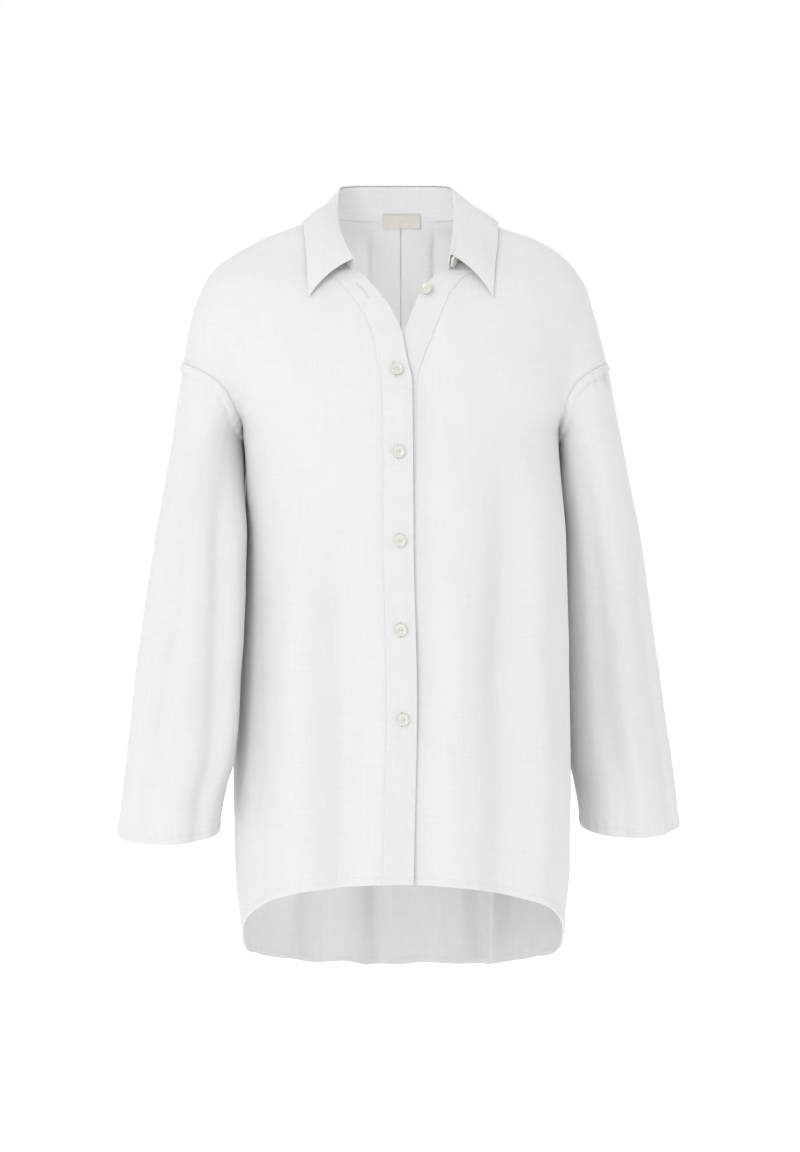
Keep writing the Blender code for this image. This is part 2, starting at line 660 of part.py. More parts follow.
def grid_wall(name, grid, thickness, shade, outward):
    """Wall laid inside a grid of points, square to its surface."""
    along = np.gradient(grid, axis=1)
    down = np.gradient(grid, axis=0)
    normals = np.cross(along, down)
    normals /= np.linalg.norm(normals, axis=2, keepdims=True)
    return shell(name, grid, grid - outward * normals * thickness, shade)


def collar_stand(shade):
    """The upright band around the neck, seamed to the fronts and back."""
    columns = []
    for side, f, seam in around_neck():
        high = roll_point(side, f)
        low = seam + (high - seam) * (STAND_SEAT / np.linalg.norm(high - seam))
        bow = math.sin(math.pi * f / 2) * 0.0010
        columns.append([low + (high - low) * t + np.array((0, bow * math.sin(math.pi * t), 0))
                        for t in (0.0, 0.33, 0.67, 1.0)])
    grid = np.array(columns).transpose(1, 0, 2)
    return grid_wall("collar_stand", grid, CLOTH, shade, -1)


def under_leaf(offset, down, off, height):
    """Whether a leaf point, measured from the roll line, comes too close to the stand."""
    return -0.002 < offset.dot(down) < height + 0.003 and offset.dot(off) < LEAF_CLEAR


def collar_leaf(shade):
    """The turned-down leaf: it rolls over the stand's top edge and lies on the shoulders."""
    columns = []
    for side, f, seam in around_neck():
        if f < LEAF_START:
            continue
        roll = roll_point(side, f)
        edge = leaf_point(side, (f - LEAF_START) / (1 - LEAF_START))
        down = (seam - roll) / np.linalg.norm(seam - roll)
        away = edge - roll
        slant = np.array((away[0], away[1], 0.0)) / np.hypot(away[0], away[1]) + (0.0, 0.0, 1.0)
        off = slant - down * slant.dot(down)
        off /= np.linalg.norm(off)
        rim = roll + off * ROLL_OUT + down * 0.0010
        column = [roll - down * ROLL_RISE, roll - down * ROLL_RISE * 0.75 + off * ROLL_OUT * 0.65, rim]
        square = np.cross(np.cross(away, (0.0, 0.0, 1.0)), away)
        square /= np.linalg.norm(square)
        for t in (0.2, 0.42, 0.62, 0.82, 1.0):
            point = rim + (edge - rim) * t + square * LEAF_BULGE * max(math.sin(math.pi * t), 0.0)**0.8
            while t < 1 and (inside_form(point - square * LEAF_CLEAR)
                             or under_leaf(point - roll, down, off, np.linalg.norm(seam - roll))):
                point = point + square * 0.0003
            column.append(point)
        columns.append(column)
    grid = np.array(columns).transpose(1, 0, 2)
    return grid_wall("collar_leaf", grid, LEAF_CLOTH, shade, 1)


def label(shade):
    """Bare woven label on the inside of the stand, hanging over the neck seam."""
    outer, inner = [], []
    for z in np.linspace(LABEL_TOP_Z, LABEL_LOW_Z, 4):
        row_out, row_in = [], []
        for x in np.linspace(LABEL_RIGHT_X, LABEL_LEFT_X, 7):
            side = RIGHT if x < 0 else LEFT
            level = min(z, 0.0115)
            base = form_point(side, 1, run_at(side, 1, abs(x), level), level)
            lean = max(z - 0.010, 0.0) * 0.21
            y = base[1] - BACK_CLOTH - 1.5 * SEAM_GAP - lean
            row_out.append((x, y, z))
            row_in.append((x, y - LABEL_CLOTH, z))
        outer.append(row_out)
        inner.append(row_in)
    return shell("label", np.array(outer), np.array(inner), shade)


def button_mesh(shade):
    """Turned shell button: a flat back, a round rim and a dished face."""
    r, t = BUTTON_RADIUS, BUTTON_THICKNESS
    profile = ((0.0, 0.0), (0.78 * r, 0.0), (0.97 * r, 0.30 * t), (r, 0.55 * t), (0.95 * r, 0.88 * t),
               (0.84 * r, t), (0.68 * r, 0.80 * t), (0.0, 0.72 * t))
    sides = 16
    points = [(0.0, 0.0, profile[0][1])]
    for radius, height in profile[1:-1]:
        for step in range(sides):
            turn = 2 * math.pi * step / sides
            points.append((radius * math.cos(turn), radius * math.sin(turn), height))
    points.append((0.0, 0.0, profile[-1][1]))
    top = len(points) - 1
    faces = []
    for step in range(sides):
        after = (step + 1) % sides
        faces.append((0, 1 + after, 1 + step))
        faces.append((top, top - sides + step, top - sides + after))
        for ring in range(len(profile) - 3):
            a = 1 + ring * sides
            faces.append((a + step, a + after, a + sides + after, a + sides + step))
    mesh = bpy.data.meshes.new("button")
    mesh.from_pydata(points, [], faces)
    mesh.shade_smooth()
    mesh.materials.append(shade)
    return mesh


def set_button(number, mesh, point, normal):
    """Stand a button on a point with its face along the normal."""
    piece = bpy.data.objects.new("button_%d" % number, mesh)
    piece.rotation_mode = "QUATERNION"
    piece.rotation_quaternion = Vector(normal).to_track_quat("Z", "Y")
    piece.location = point
    bpy.context.scene.collection.objects.link(piece)


def buttons(shade):
    mesh = button_mesh(shade)
    lift = 3 * SEAM_GAP + BAND_CLOTH
    for number, (x, z) in enumerate(BUTTON_PLACES, start=1):
        side = RIGHT if x < 0 else LEFT
        run = run_at(side, -1, abs(x), z)
        height = fold_height(FRONT_FOLDS, x, z) + lift
        set_button(number, mesh, placed(side, -1, run, height, z), form_normal(side, -1, run, z))
    open_z = -0.0735
    open_x = EDGES.read("left", open_z) + 0.011
    run = run_at(LEFT, -1, open_x, open_z)
    height = front_height(LEFT, run, open_z) + lift
    set_button(6, mesh, placed(LEFT, -1, run, height, open_z), form_normal(LEFT, -1, run, open_z))
    (_, low), (f, low_after) = neck_line(LEFT)[:2]
    high, high_after = roll_point(LEFT, 0.0), roll_point(LEFT, f)
    normal = np.cross(high - low + high_after - low_after, low_after - low + high_after - high)
    normal *= -math.copysign(1, normal[2]) / np.linalg.norm(normal)
    middle = 0.2 * (low + low_after) + 0.3 * (high + high_after)
    set_button(7, mesh, middle + normal * 3 * SEAM_GAP, normal)


def build():
    clear_scene()
    linen = material("white_linen", WHITE, 0.9)
    front_panel(RIGHT, linen)
    front_panel(LEFT, linen)
    back_panel(linen)
    sleeve(RIGHT, linen)
    sleeve(LEFT, linen)
    placket(RIGHT, linen)
    placket(LEFT, linen)
    collar_stand(linen)
    collar_leaf(linen)
    label(material("label_tape", BEIGE, 0.8))
    buttons(material("shell_button", PEARL, 0.25))


build()
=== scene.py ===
"""White linen blouse, filled out as if worn: fronts, back, sleeves, bands, collar, label, buttons
and sewing.

Metres, +Z up. The front faces -Y and the wearer's left is +X.
"""
import math

import bmesh
import bpy
import numpy as np
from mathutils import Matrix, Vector


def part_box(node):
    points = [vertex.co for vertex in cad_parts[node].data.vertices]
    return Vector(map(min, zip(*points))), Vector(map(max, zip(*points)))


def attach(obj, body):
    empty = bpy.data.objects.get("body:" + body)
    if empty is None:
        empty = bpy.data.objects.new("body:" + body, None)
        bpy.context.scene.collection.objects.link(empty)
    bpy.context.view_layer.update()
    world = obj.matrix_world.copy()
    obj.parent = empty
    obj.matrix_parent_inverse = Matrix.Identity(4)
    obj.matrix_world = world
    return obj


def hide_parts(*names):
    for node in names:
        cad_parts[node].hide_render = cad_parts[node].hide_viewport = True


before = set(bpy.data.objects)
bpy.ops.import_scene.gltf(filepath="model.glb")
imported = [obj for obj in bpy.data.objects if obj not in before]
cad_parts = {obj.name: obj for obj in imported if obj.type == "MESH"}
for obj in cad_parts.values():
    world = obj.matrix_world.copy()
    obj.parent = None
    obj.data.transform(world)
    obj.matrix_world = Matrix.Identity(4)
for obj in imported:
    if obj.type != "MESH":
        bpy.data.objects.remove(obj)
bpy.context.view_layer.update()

# -------------------------------------------------------------------------------------------------
# White linen. One light, matt, slightly slubby plain weave makes every cut piece. Its threads run
# down and across each piece, so the weave follows the piece's own cloth coordinates, in metres.

LINEN_COLOR = (0.672, 0.673, 0.685, 1.0)
LINEN_THIN = (0.645, 0.646, 0.658, 1.0)         # between thick threads
THREADS = 1900                                  # per metre, each way
WARP_SLUBS, WEFT_SLUBS = (620, 22), (26, 640)   # per metre, across and down the piece
UNEVEN_WEAVE = (28, 20)
SLUB_HEIGHT, THREAD_HEIGHT = 0.00050, 0.00006


class Link:
    """A shader socket that takes part in sums: each sign adds the Math node that works it out."""

    def __init__(self, finish, socket):
        self.finish = finish
        self.socket = socket

    def sign(self, operation, first, second):
        return self.finish.node("ShaderNodeMath", {"operation": operation}, {0: first, 1: second})

    def __add__(self, other):
        return self.sign("ADD", self, other)

    def __radd__(self, other):
        return self.sign("ADD", other, self)

    def __sub__(self, other):
        return self.sign("SUBTRACT", self, other)

    def __rsub__(self, other):
        return self.sign("SUBTRACT", other, self)

    def __mul__(self, other):
        return self.sign("MULTIPLY", self, other)

    def __rmul__(self, other):
        return self.sign("MULTIPLY", other, self)


class Finish:
    """The material of one real finish. Constants go straight onto the shader's own sockets."""

    def __init__(self, name, **constants):
        self.material = bpy.data.materials.new(name)
        self.material.use_nodes = True
        self.tree = self.material.node_tree
        self.surface = self.tree.nodes["Principled BSDF"]
        for socket, value in constants.items():
            self.surface.inputs[socket.replace("_", " ")].default_value = value

    def node(self, kind, settings=None, sockets=None, output=0):
        made = self.tree.nodes.new(kind)
        for name, value in (settings or {}).items():
            setattr(made, name, value)
        for name, value in (sockets or {}).items():
            self.feed(made.inputs[name], value)
        return Link(self, made.outputs[output])

    def feed(self, socket, value):
        if isinstance(value, Link):
            self.tree.links.new(value.socket, socket)
        else:
            socket.default_value = value

    def shows(self, socket, value):
        self.feed(self.surface.inputs[socket], value)

    def mix(self, share, first, second):
        """Two colours by their shares; the numbers are the Mix node's own colour sockets."""
        return self.node("ShaderNodeMix", {"data_type": "RGBA"}, {0: share, 6: first, 7: second}, 2)


def linen_finish():
    linen = Finish("white_linen", Roughness=0.92, Sheen_Weight=0.12, Sheen_Roughness=0.6,
                   Subsurface_Weight=0.12, Subsurface_Scale=0.004,
                   Subsurface_Radius=(1.0, 1.0, 1.0), Specular_IOR_Level=0.22)
    cloth = linen.node("ShaderNodeUVMap", {"uv_map": "cloth"})

    def slubs(spread, detail):
        stretched = linen.node("ShaderNodeVectorMath", {"operation": "MULTIPLY"},
                               {0: cloth, 1: (*spread, 1.0)})
        return linen.node("ShaderNodeTexNoise", {"noise_dimensions": "2D"},
                          {"Vector": stretched, "Scale": 1.0, "Detail": detail, "Roughness": 0.55})

    def threads(way):
        place = linen.node("ShaderNodeSeparateXYZ", {}, {0: cloth}, way)
        wave = linen.node("ShaderNodeMath", {"operation": "SINE"}, {0: place * (math.pi * THREADS)})
        return wave * wave * 0.5

    thick = (slubs(WARP_SLUBS, 2.0) + slubs(WEFT_SLUBS, 2.0)) * 0.5
    blend = thick * 0.8 + slubs(UNEVEN_WEAVE, 3.0) * 0.2
    full = linen.node("ShaderNodeMapRange", {},
                      {"Value": blend, "From Min": 0.36, "From Max": 0.62})
    linen.shows("Base Color", linen.mix(1 - full, LINEN_COLOR, LINEN_THIN))
    height = thick * SLUB_HEIGHT + (threads("X") + threads("Y")) * THREAD_HEIGHT
    linen.shows("Normal", linen.node("ShaderNodeBump", {}, {"Strength": 0.55, "Distance": 1.0,
                                                             "Height": height}))
    return linen.material


linen = linen_finish()

# -------------------------------------------------------------------------------------------------
# The two fronts. Each is one panel of linen from its closing edge to the dropped shoulder, armhole
# and side seam, with a curved narrow hem. The left one runs behind the right one. Their folds are
# soft.

RIGHT, LEFT = -1, 1
FRONT, BACK = -1, 1
WORD = {RIGHT: "right", LEFT: "left"}
FACE = {FRONT: "front", BACK: "back"}
NECK_POINT_Z, NECK_CLEAR_Z = 0.012, 0.0125
UNDERARM_Z = -0.215
ARMHOLE_TOP_Z = -0.140
HEM_SIDE_Z = -0.731
FORM_TOP_Z, FORM_LOW_Z = 0.030, -0.80
HAIR = 1e-6                                # keeps a level clear of the underarm's own level
HEM_RISE = {FRONT: 0.070, BACK: -0.039}    # the hem's middle over the side seam
HEM_BEND_Z = -0.45
HEM_CURVE = 2.4
HEM_WIDTH = 0.0075
HEM_TURN, HEM_RIDGE, HEM_UNDER = 0.0012, 0.0006, 0.0008    # its step, and its rise out and in
LINEN_WALL = 0.0009
BAND_WIDTH = 0.030
LAP_DEPTH, LAP_FULL, LAP_END = 0.0034, 0.020, 0.048
LAP_TOP_Z, LAP_FADE = -0.06, 0.04
SUPERELLIPSE = 2.4
UNION_POWER = 8
# Body sections: half widths, depth of the side line, and depth at centre front and centre back.
BODY_COLUMNS = ("z", "r_half", "l_half", "r_side", "l_side", "front", "back")
BODY_SECTIONS = (
    (0.030, 0.0400, 0.0400, 0.000, 0.000, 0.032, 0.0630),
    (0.012, 0.0745, 0.0745, 0.000, 0.000, 0.034, 0.0665),
    (0.003, 0.0930, 0.0880, 0.000, 0.000, 0.038, 0.0690),
    (-0.003, 0.1080, 0.1000, 0.000, 0.000, 0.041, 0.0710),
    (-0.0153, 0.1410, 0.1360, 0.000, 0.000, 0.047, 0.0760),
    (-0.0316, 0.1710, 0.1630, 0.000, 0.000, 0.0575, 0.0830),
    (-0.048, 0.1920, 0.1780, 0.000, 0.000, 0.0715, 0.0890),
    (-0.064, 0.1985, 0.1865, 0.000, 0.000, 0.0830, 0.0950),
    (-0.097, 0.1960, 0.1860, 0.000, 0.000, 0.0970, 0.1060),
    (-0.121, 0.1910, 0.1830, 0.000, 0.000, 0.1035, 0.1120),
    (-0.176, 0.1740, 0.1770, 0.000, 0.000, 0.1115, 0.1195),
    (-0.1925, 0.1695, 0.1700, 0.000, 0.000, 0.1130, 0.1220),
    (-0.202, 0.1638, 0.1638, 0.000, 0.000, 0.1140, 0.1230),
    (-0.2095, 0.1608, 0.1608, 0.000, 0.000, 0.1150, 0.1237),
    (-0.215, 0.1597, 0.1597, 0.000, 0.000, 0.1155, 0.1240),
    (-0.250, 0.1576, 0.1612, 0.004, -0.004, 0.118, 0.1260),
    (-0.320, 0.1590, 0.1670, 0.012, -0.010, 0.121, 0.1290),
    (-0.440, 0.1660, 0.1705, 0.015, -0.012, 0.126, 0.1350),
    (-0.560, 0.1705, 0.1725, 0.012, -0.010, 0.131, 0.1410),
    (-0.650, 0.1685, 0.1710, 0.004, -0.004, 0.134, 0.1460),
    (-0.731, 0.1610, 0.1650, 0.000, 0.000, 0.136, 0.1490),
    (-0.790, 0.1590, 0.1630, 0.000, 0.000, 0.136, 0.1500),
)

# Arm sections: distance of the outer and inner edge from the centre line, depth before and behind
# the arm's own centre, and how far that centre lies forward or back.
ARM_COLUMNS = ("z", "outer", "inner", "front", "back", "centre")
ARM_SECTIONS = {
    RIGHT: (
        (0.012, 0.0745, 0.040, 0.020, 0.020, 0.0),
        (0.003, 0.0930, 0.050, 0.020, 0.024, 0.0),
        (-0.003, 0.1080, 0.060, 0.024, 0.030, 0.0),
        (-0.0153, 0.1410, 0.075, 0.032, 0.040, 0.0),
        (-0.0316, 0.1710, 0.090, 0.040, 0.048, 0.0),
        (-0.048, 0.1920, 0.100, 0.047, 0.052, 0.0),
        (-0.064, 0.2020, 0.105, 0.053, 0.055, 0.0),
        (-0.0806, 0.2088, 0.108, 0.057, 0.057, 0.0),
        (-0.097, 0.2140, 0.112, 0.058, 0.058, 0.0),
        (-0.121, 0.2185, 0.120, 0.059, 0.059, 0.0),
        (-0.176, 0.2272, 0.1425, 0.059, 0.058, 0.0),
        (-0.1925, 0.2297, 0.1500, 0.0585, 0.057, 0.0),
        (-0.202, 0.2310, 0.1555, 0.058, 0.0565, 0.0),
        (-0.2095, 0.2320, 0.1590, 0.0575, 0.056, 0.0),
        (-0.215, 0.2328, 0.1602, 0.057, 0.055, 0.0),
        (-0.250, 0.2375, 0.1578, 0.056, 0.054, -0.010),
        (-0.320, 0.2470, 0.1570, 0.054, 0.053, -0.035),
        (-0.440, 0.2640, 0.1600, 0.050, 0.050, -0.052),
        (-0.540, 0.2757, 0.1660, 0.047, 0.047, -0.055),
        (-0.570, 0.2792, 0.1745, 0.047, 0.047, -0.055),
        (-0.640, 0.2870, 0.1870, 0.045, 0.045, -0.055),
    ),
    LEFT: (
        (0.012, 0.0745, 0.040, 0.020, 0.020, 0.0),
        (0.003, 0.0880, 0.050, 0.020, 0.024, 0.0),
        (-0.003, 0.1000, 0.060, 0.024, 0.030, 0.0),
        (-0.0153, 0.1360, 0.075, 0.030, 0.040, 0.0),
        (-0.0316, 0.1630, 0.090, 0.037, 0.049, 0.0),
        (-0.048, 0.1780, 0.100, 0.042, 0.054, 0.0),
        (-0.064, 0.1885, 0.105, 0.046, 0.058, 0.0),
        (-0.0806, 0.1930, 0.108, 0.049, 0.060, 0.0),
        (-0.097, 0.1980, 0.112, 0.050, 0.062, 0.0),
        (-0.121, 0.2040, 0.120, 0.050, 0.064, 0.0),
        (-0.176, 0.2168, 0.1425, 0.049, 0.064, 0.0),
        (-0.1925, 0.2200, 0.1500, 0.0485, 0.063, 0.0),
        (-0.202, 0.2219, 0.1555, 0.048, 0.062, 0.0),
        (-0.2095, 0.2234, 0.1590, 0.048, 0.061, 0.0),
        (-0.215, 0.2245, 0.1602, 0.048, 0.060, 0.0),
        (-0.250, 0.2320, 0.1614, 0.050, 0.058, 0.012),
        (-0.320, 0.2460, 0.1660, 0.053, 0.054, 0.034),
        (-0.440, 0.2630, 0.1665, 0.051, 0.051, 0.050),
        (-0.540, 0.2780, 0.1715, 0.048, 0.048, 0.048),
        (-0.570, 0.2822, 0.1785, 0.048, 0.048, 0.046),
        (-0.640, 0.2900, 0.1890, 0.046, 0.046, 0.040),
    ),
}

# Front edges: distance from the centre line on the panel's own side, negative past the centre.
EDGE_COLUMNS = ("z", "right", "left")
FRONT_EDGES = (
    (0.012, 0.0715, 0.0715),
    (0.000, 0.0710, 0.0710),
    (-0.020, 0.0670, 0.0670),
    (-0.036, 0.0600, 0.0600),
    (-0.046, 0.0550, 0.0545),
    (-0.0515, 0.0500, 0.0480),
    (-0.058, 0.0370, 0.0345),
    (-0.066, 0.0305, 0.0270),
    (-0.0765, 0.0210, 0.0185),
    (-0.090, 0.0115, 0.0125),
    (-0.105, 0.0035, 0.0065),
    (-0.1173, -0.0010, 0.0020),
    (-0.1423, -0.0060, -0.0080),
    (-0.1643, -0.0110, -0.0140),
    (-0.342, -0.0126, -0.0160),
    (-0.480, -0.0157, -0.0160),
    (-0.598, -0.0137, -0.0150),
    (-0.731, -0.0105, -0.0150),
)

# Up the armhole seam, every 18 degrees from the underarm to the top.
ARMHOLE_HEIGHTS = (-0.215, -0.2095, -0.2020, -0.1925, -0.1780, -0.1650, -0.1560, -0.1498, -0.1452,
                   -0.1419, -0.140)

# Soft folds: X at the top and bottom (top_x, low_x), the heights they run between (top_z, low_z),
# half width and depth (negative is a trough).
FRONT_FOLDS = (
    (-0.055, -0.062, -0.26, -0.80, 0.018, -0.0125),
    (-0.098, -0.104, -0.22, -0.80, 0.020, 0.0100),
    (-0.142, -0.146, -0.30, -0.80, 0.012, -0.0040),
    (0.060, 0.055, -0.24, -0.80, 0.020, 0.0045),
    (0.108, 0.104, -0.16, -0.80, 0.021, -0.0140),
    (0.136, 0.140, -0.22, -0.80, 0.012, 0.0050),
)
BACK_FOLDS = (
    (-0.024, -0.026, -0.30, -0.85, 0.010, 0.0090),
    (-0.075, -0.090, -0.22, -0.85, 0.018, 0.0090),
    (-0.110, -0.122, -0.30, -0.85, 0.014, -0.0070),
    (0.036, 0.040, -0.30, -0.85, 0.012, -0.0060),
    (0.072, 0.084, -0.26, -0.85, 0.011, 0.0150),
    (0.098, 0.102, -0.24, -0.85, 0.008, -0.0120),
    (0.122, 0.128, -0.28, -0.85, 0.012, 0.0060),
)
SLEEVE_FOLDS = {          # around the sleeve in degrees from the underarm, front first
    RIGHT: ((62, 50, -0.20, -0.62, 13, -0.0070), (96, 112, -0.26, -0.60, 10, -0.0035),
            (130, 138, -0.18, -0.70, 18, 0.0045), (235, 245, -0.23, -0.70, 16, -0.0060)),
    LEFT: ((66, 88, -0.20, -0.66, 14, -0.0060), (112, 96, -0.30, -0.72, 12, 0.0045),
           (140, 146, -0.22, -0.70, 13, -0.0050), (250, 240, -0.23, -0.70, 16, -0.0060)),
}


class Table:
    """A short table of sections, read at any place between its rows along a smooth curve."""

    def __init__(self, columns, rows):
        rows = np.array(sorted(rows))
        self.at = rows[:, 0]
        steps = np.diff(rows, axis=0)
        self.values, self.slopes = {}, {}
        for place, name in enumerate(columns[1:], start=1):
            rate = steps[:, place] / steps[:, 0]
            slope = np.zeros(len(rows))
            slope[0], slope[-1] = rate[0], rate[-1]
            same_way = rate[:-1] * rate[1:] > 0
            total = np.where(same_way, rate[:-1] + rate[1:], 1.0)
            slope[1:-1] = np.where(same_way, 2 * rate[:-1] * rate[1:] / total, 0.0)
            self.values[name], self.slopes[name] = rows[:, place], slope

    def read(self, name, where):
        where = np.clip(where, self.at[0], self.at[-1])
        row = np.clip(np.searchsorted(self.at, where, side="right") - 1, 0, len(self.at) - 2)
        span = self.at[row + 1] - self.at[row]
        t = (where - self.at[row]) / span
        low, high = self.values[name][row], self.values[name][row + 1]
        leave, arrive = self.slopes[name][row], self.slopes[name][row + 1]
        return ((2 * t**3 - 3 * t**2 + 1) * low + (t**3 - 2 * t**2 + t) * span * leave
                + (3 * t**2 - 2 * t**3) * high + (t**3 - t**2) * span * arrive)


BODY = Table(BODY_COLUMNS, BODY_SECTIONS)
ARMS = {side: Table(ARM_COLUMNS, rows) for side, rows in ARM_SECTIONS.items()}
EDGES = Table(EDGE_COLUMNS, FRONT_EDGES)
ARMHOLE = Table(("angle", "z"), [(math.pi * step / (len(ARMHOLE_HEIGHTS) - 1), z)
                                 for step, z in enumerate(ARMHOLE_HEIGHTS)])
SECTION_POINTS = 401


def smooth(t):
    t = np.clip(t, 0.0, 1.0)
    return t * t * (3 - 2 * t)


def arm_lobe(side, facing, z):
    """Centre, half width and depth of the arm's section, before or behind the shoulder line."""
    outer, inner = ARMS[side].read("outer", z), ARMS[side].read("inner", z)
    return (outer + inner) / 2, (outer - inner) / 2, ARMS[side].read(FACE[facing], z)


def section(side, facing, z, above):
    """Half a level section of the body from the centre line out: run along the cloth, x and y."""
    letter = WORD[side][0] + "_"
    half, side_line = BODY.read(letter + "half", z), BODY.read(letter + "side", z)
    middle = BODY.read(FACE[facing], z) - facing * side_line
    reach = max(half, ARMS[side].read("outer", z)) if above else half
    x = reach * np.sin(np.linspace(0, math.pi / 2, SECTION_POINTS))
    depth = middle * (1 - np.clip(x / half, 0, 1)**SUPERELLIPSE)**(1 / SUPERELLIPSE)
    if above:
        centre, width, arm_depth = arm_lobe(side, facing, z)
        arm = arm_depth * np.sqrt(np.clip(1 - ((x - centre) / width)**2, 0, 1))
        depth = (depth**UNION_POWER + arm**UNION_POWER)**(1 / UNION_POWER)
    y = side_line + facing * depth
    return np.concatenate(([0.0], np.cumsum(np.hypot(np.diff(x), np.diff(y))))), x, y


def between(grid, row, column):
    """A grid of numbers or of points, read at fractional rows and columns."""
    row = np.clip(row, 0, grid.shape[0] - 1.001)
    column = np.clip(column, 0, grid.shape[1] - 1.001)
    i, k = row.astype(int), column.astype(int)
    down, out = row - i, column - k
    if grid.ndim == 3:
        down, out = down[..., None], out[..., None]
    return ((grid[i, k] * (1 - out) + grid[i, k + 1] * out) * (1 - down)
            + (grid[i + 1, k] * (1 - out) + grid[i + 1, k + 1] * out) * down)


class Side:
    """A quarter of the body's form, kept as level sections close together."""

    STEP = 0.002                       # from section to section, and along each
    RUNS = np.arange(0, 0.36, STEP)

    def __init__(self, side, facing):
        self.halves = []
        for above, low, high in ((False, FORM_LOW_Z, UNDERARM_Z), (True, UNDERARM_Z, FORM_TOP_Z)):
            heights = np.linspace(low, high, int((high - low) / self.STEP) + 1)
            cut = [section(side, facing, z, above) for z in heights]
            ends = np.array([run[-1] for run, _, _ in cut])
            x = np.array([np.interp(self.RUNS, run, xs) for run, xs, _ in cut])
            y = np.array([np.interp(self.RUNS, run, ys) for run, _, ys in cut])
            self.halves.append((heights, x, y, ends))

    def read(self, run, z):
        low, high = ([between(grid, (z - heights[0]) / (heights[1] - heights[0]), run / self.STEP)
                      for grid in (x, y)] for heights, x, y, _ in self.halves)
        return [np.where(z > UNDERARM_Z, over, under) for under, over in zip(low, high)]

    def end(self, z):
        low, high = (np.interp(z, half[0], half[3]) for half in self.halves)
        return np.where(z > UNDERARM_Z, high, low)


FORM = {(side, facing): Side(side, facing) for side in (RIGHT, LEFT) for facing in (FRONT, BACK)}


def on_form(side, facing, run, z):
    """Points of the form at runs along the cloth; a negative run crosses the centre line."""
    run, z = np.broadcast_arrays(np.asarray(run, float), np.asarray(z, float))
    own_x, own_y = FORM[side, facing].read(np.abs(run), z)
    other_x, other_y = FORM[-side, facing].read(np.abs(run), z)
    own = run >= 0
    x, y = np.where(own, own_x, -other_x), np.where(own, own_y, other_y)
    return np.stack((side * x, y, z), axis=-1)


def run_at(side, facing, x, z):
    """Run along the cloth to a distance x from the centre line, at one height or at many."""
    z = np.atleast_1d(z)
    x = np.broadcast_to(x, z.shape)
    found = []
    for one_x, one_z in zip(x, z):
        run, xs, _ = section(side, facing, one_z, one_z > UNDERARM_Z)
        found.append(math.copysign(np.interp(abs(one_x), xs, run), one_x))
    return np.array(found)


DENSE_Z = np.concatenate((np.linspace(FORM_LOW_Z, UNDERARM_Z - HAIR, 300),
                          np.linspace(UNDERARM_Z + HAIR, NECK_CLEAR_Z, 200)))


def panel_ends(side, facing):
    """Run at which a panel ends at every height: at the side seam, armhole or shoulder seam."""
    ends = FORM[side, facing].end(DENSE_Z)
    angles = np.linspace(0.0005, math.pi, 240)
    heights = ARMHOLE.read("z", angles)
    centre, width, _ = arm_lobe(side, facing, heights)
    at_armhole = run_at(side, facing, centre - width * np.cos(angles), heights)
    in_armhole = (DENSE_Z > UNDERARM_Z) & (DENSE_Z < ARMHOLE_TOP_Z)
    ends[in_armhole] = np.interp(DENSE_Z[in_armhole], heights, at_armhole)
    return ends


ENDS = {key: panel_ends(*key) for key in FORM}
STARTS = {side: run_at(side, FRONT, EDGES.read(WORD[side], DENSE_Z), DENSE_Z)
          for side in (RIGHT, LEFT)}
HEM_LEVELS = (-0.7195, -0.7220, -0.7235, -0.7250, -0.7270, -0.7290, HEM_SIDE_Z)
LEVELS = np.concatenate((np.linspace(NECK_POINT_Z, ARMHOLE_TOP_Z, 36)[:-1],
                         ARMHOLE.read("z", np.linspace(math.pi, 0, 33)),
                         np.linspace(UNDERARM_Z, -0.716, 112)[1:], HEM_LEVELS))
SEAM_REACH = 0.012
FOLD_WAVER, FOLD_SWELL = 0.004, 0.25
SLACK_WIDE, SLACK_FINE = 0.0020, 0.0008
PUCKER_REACH = 0.0065


def starts_at(side, z):
    """Run at which a front's closing edge lies."""
    return np.interp(z, DENSE_Z, STARTS[side])


def ends_at(side, facing, z):
    """Run at which a panel meets its seam."""
    return np.interp(z, DENSE_Z, ENDS[side, facing])


def toward_hem(level):
    return smooth((HEM_BEND_Z - level) / (HEM_BEND_Z - HEM_SIDE_Z))


def hem_shift(facing, share, level):
    """How far a level line bends up or down on its way to the curved hem."""
    return toward_hem(level) * HEM_RISE[facing] * (1 - share**HEM_CURVE)


def meet_seam(side, base, runs, ends, levels):
    """Draw a panel's last centimetre onto its shoulder or side seam; armhole rows stay put."""
    z = base[..., -1, 2]
    half, outer = BODY.read(WORD[side][0] + "_half", z), ARMS[side].read("outer", z)
    reach = np.where(z > UNDERARM_Z, np.maximum(half, outer), half)
    seam = np.stack((side * reach, BODY.read(WORD[side][0] + "_side", z), z), axis=-1)
    pull = seam - base[..., -1, :]
    pull[(levels > UNDERARM_Z + HAIR) & (levels < ARMHOLE_TOP_Z - HAIR)] = 0
    return base + pull[..., None, :] * smooth(1 - (ends - runs) / SEAM_REACH)[..., None]


def ripple(u, v, seed):
    """Smooth uneven waves between -1 and 1, about one wave in two units."""
    column, row = np.floor(u), np.floor(v)
    du, dv = smooth(u - column), smooth(v - row)

    def knot(a, b):
        """The wave's height at a whole place: it looks random and is the same each run."""
        mixed = np.sin(a * 127.1 + b * 311.7 + seed * 74.7) * 43758.5453
        return 2 * (mixed - np.floor(mixed)) - 1

    return ((knot(column, row) * (1 - du) + knot(column + 1, row) * du) * (1 - dv)
            + (knot(column, row + 1) * (1 - du) + knot(column + 1, row + 1) * du) * dv)


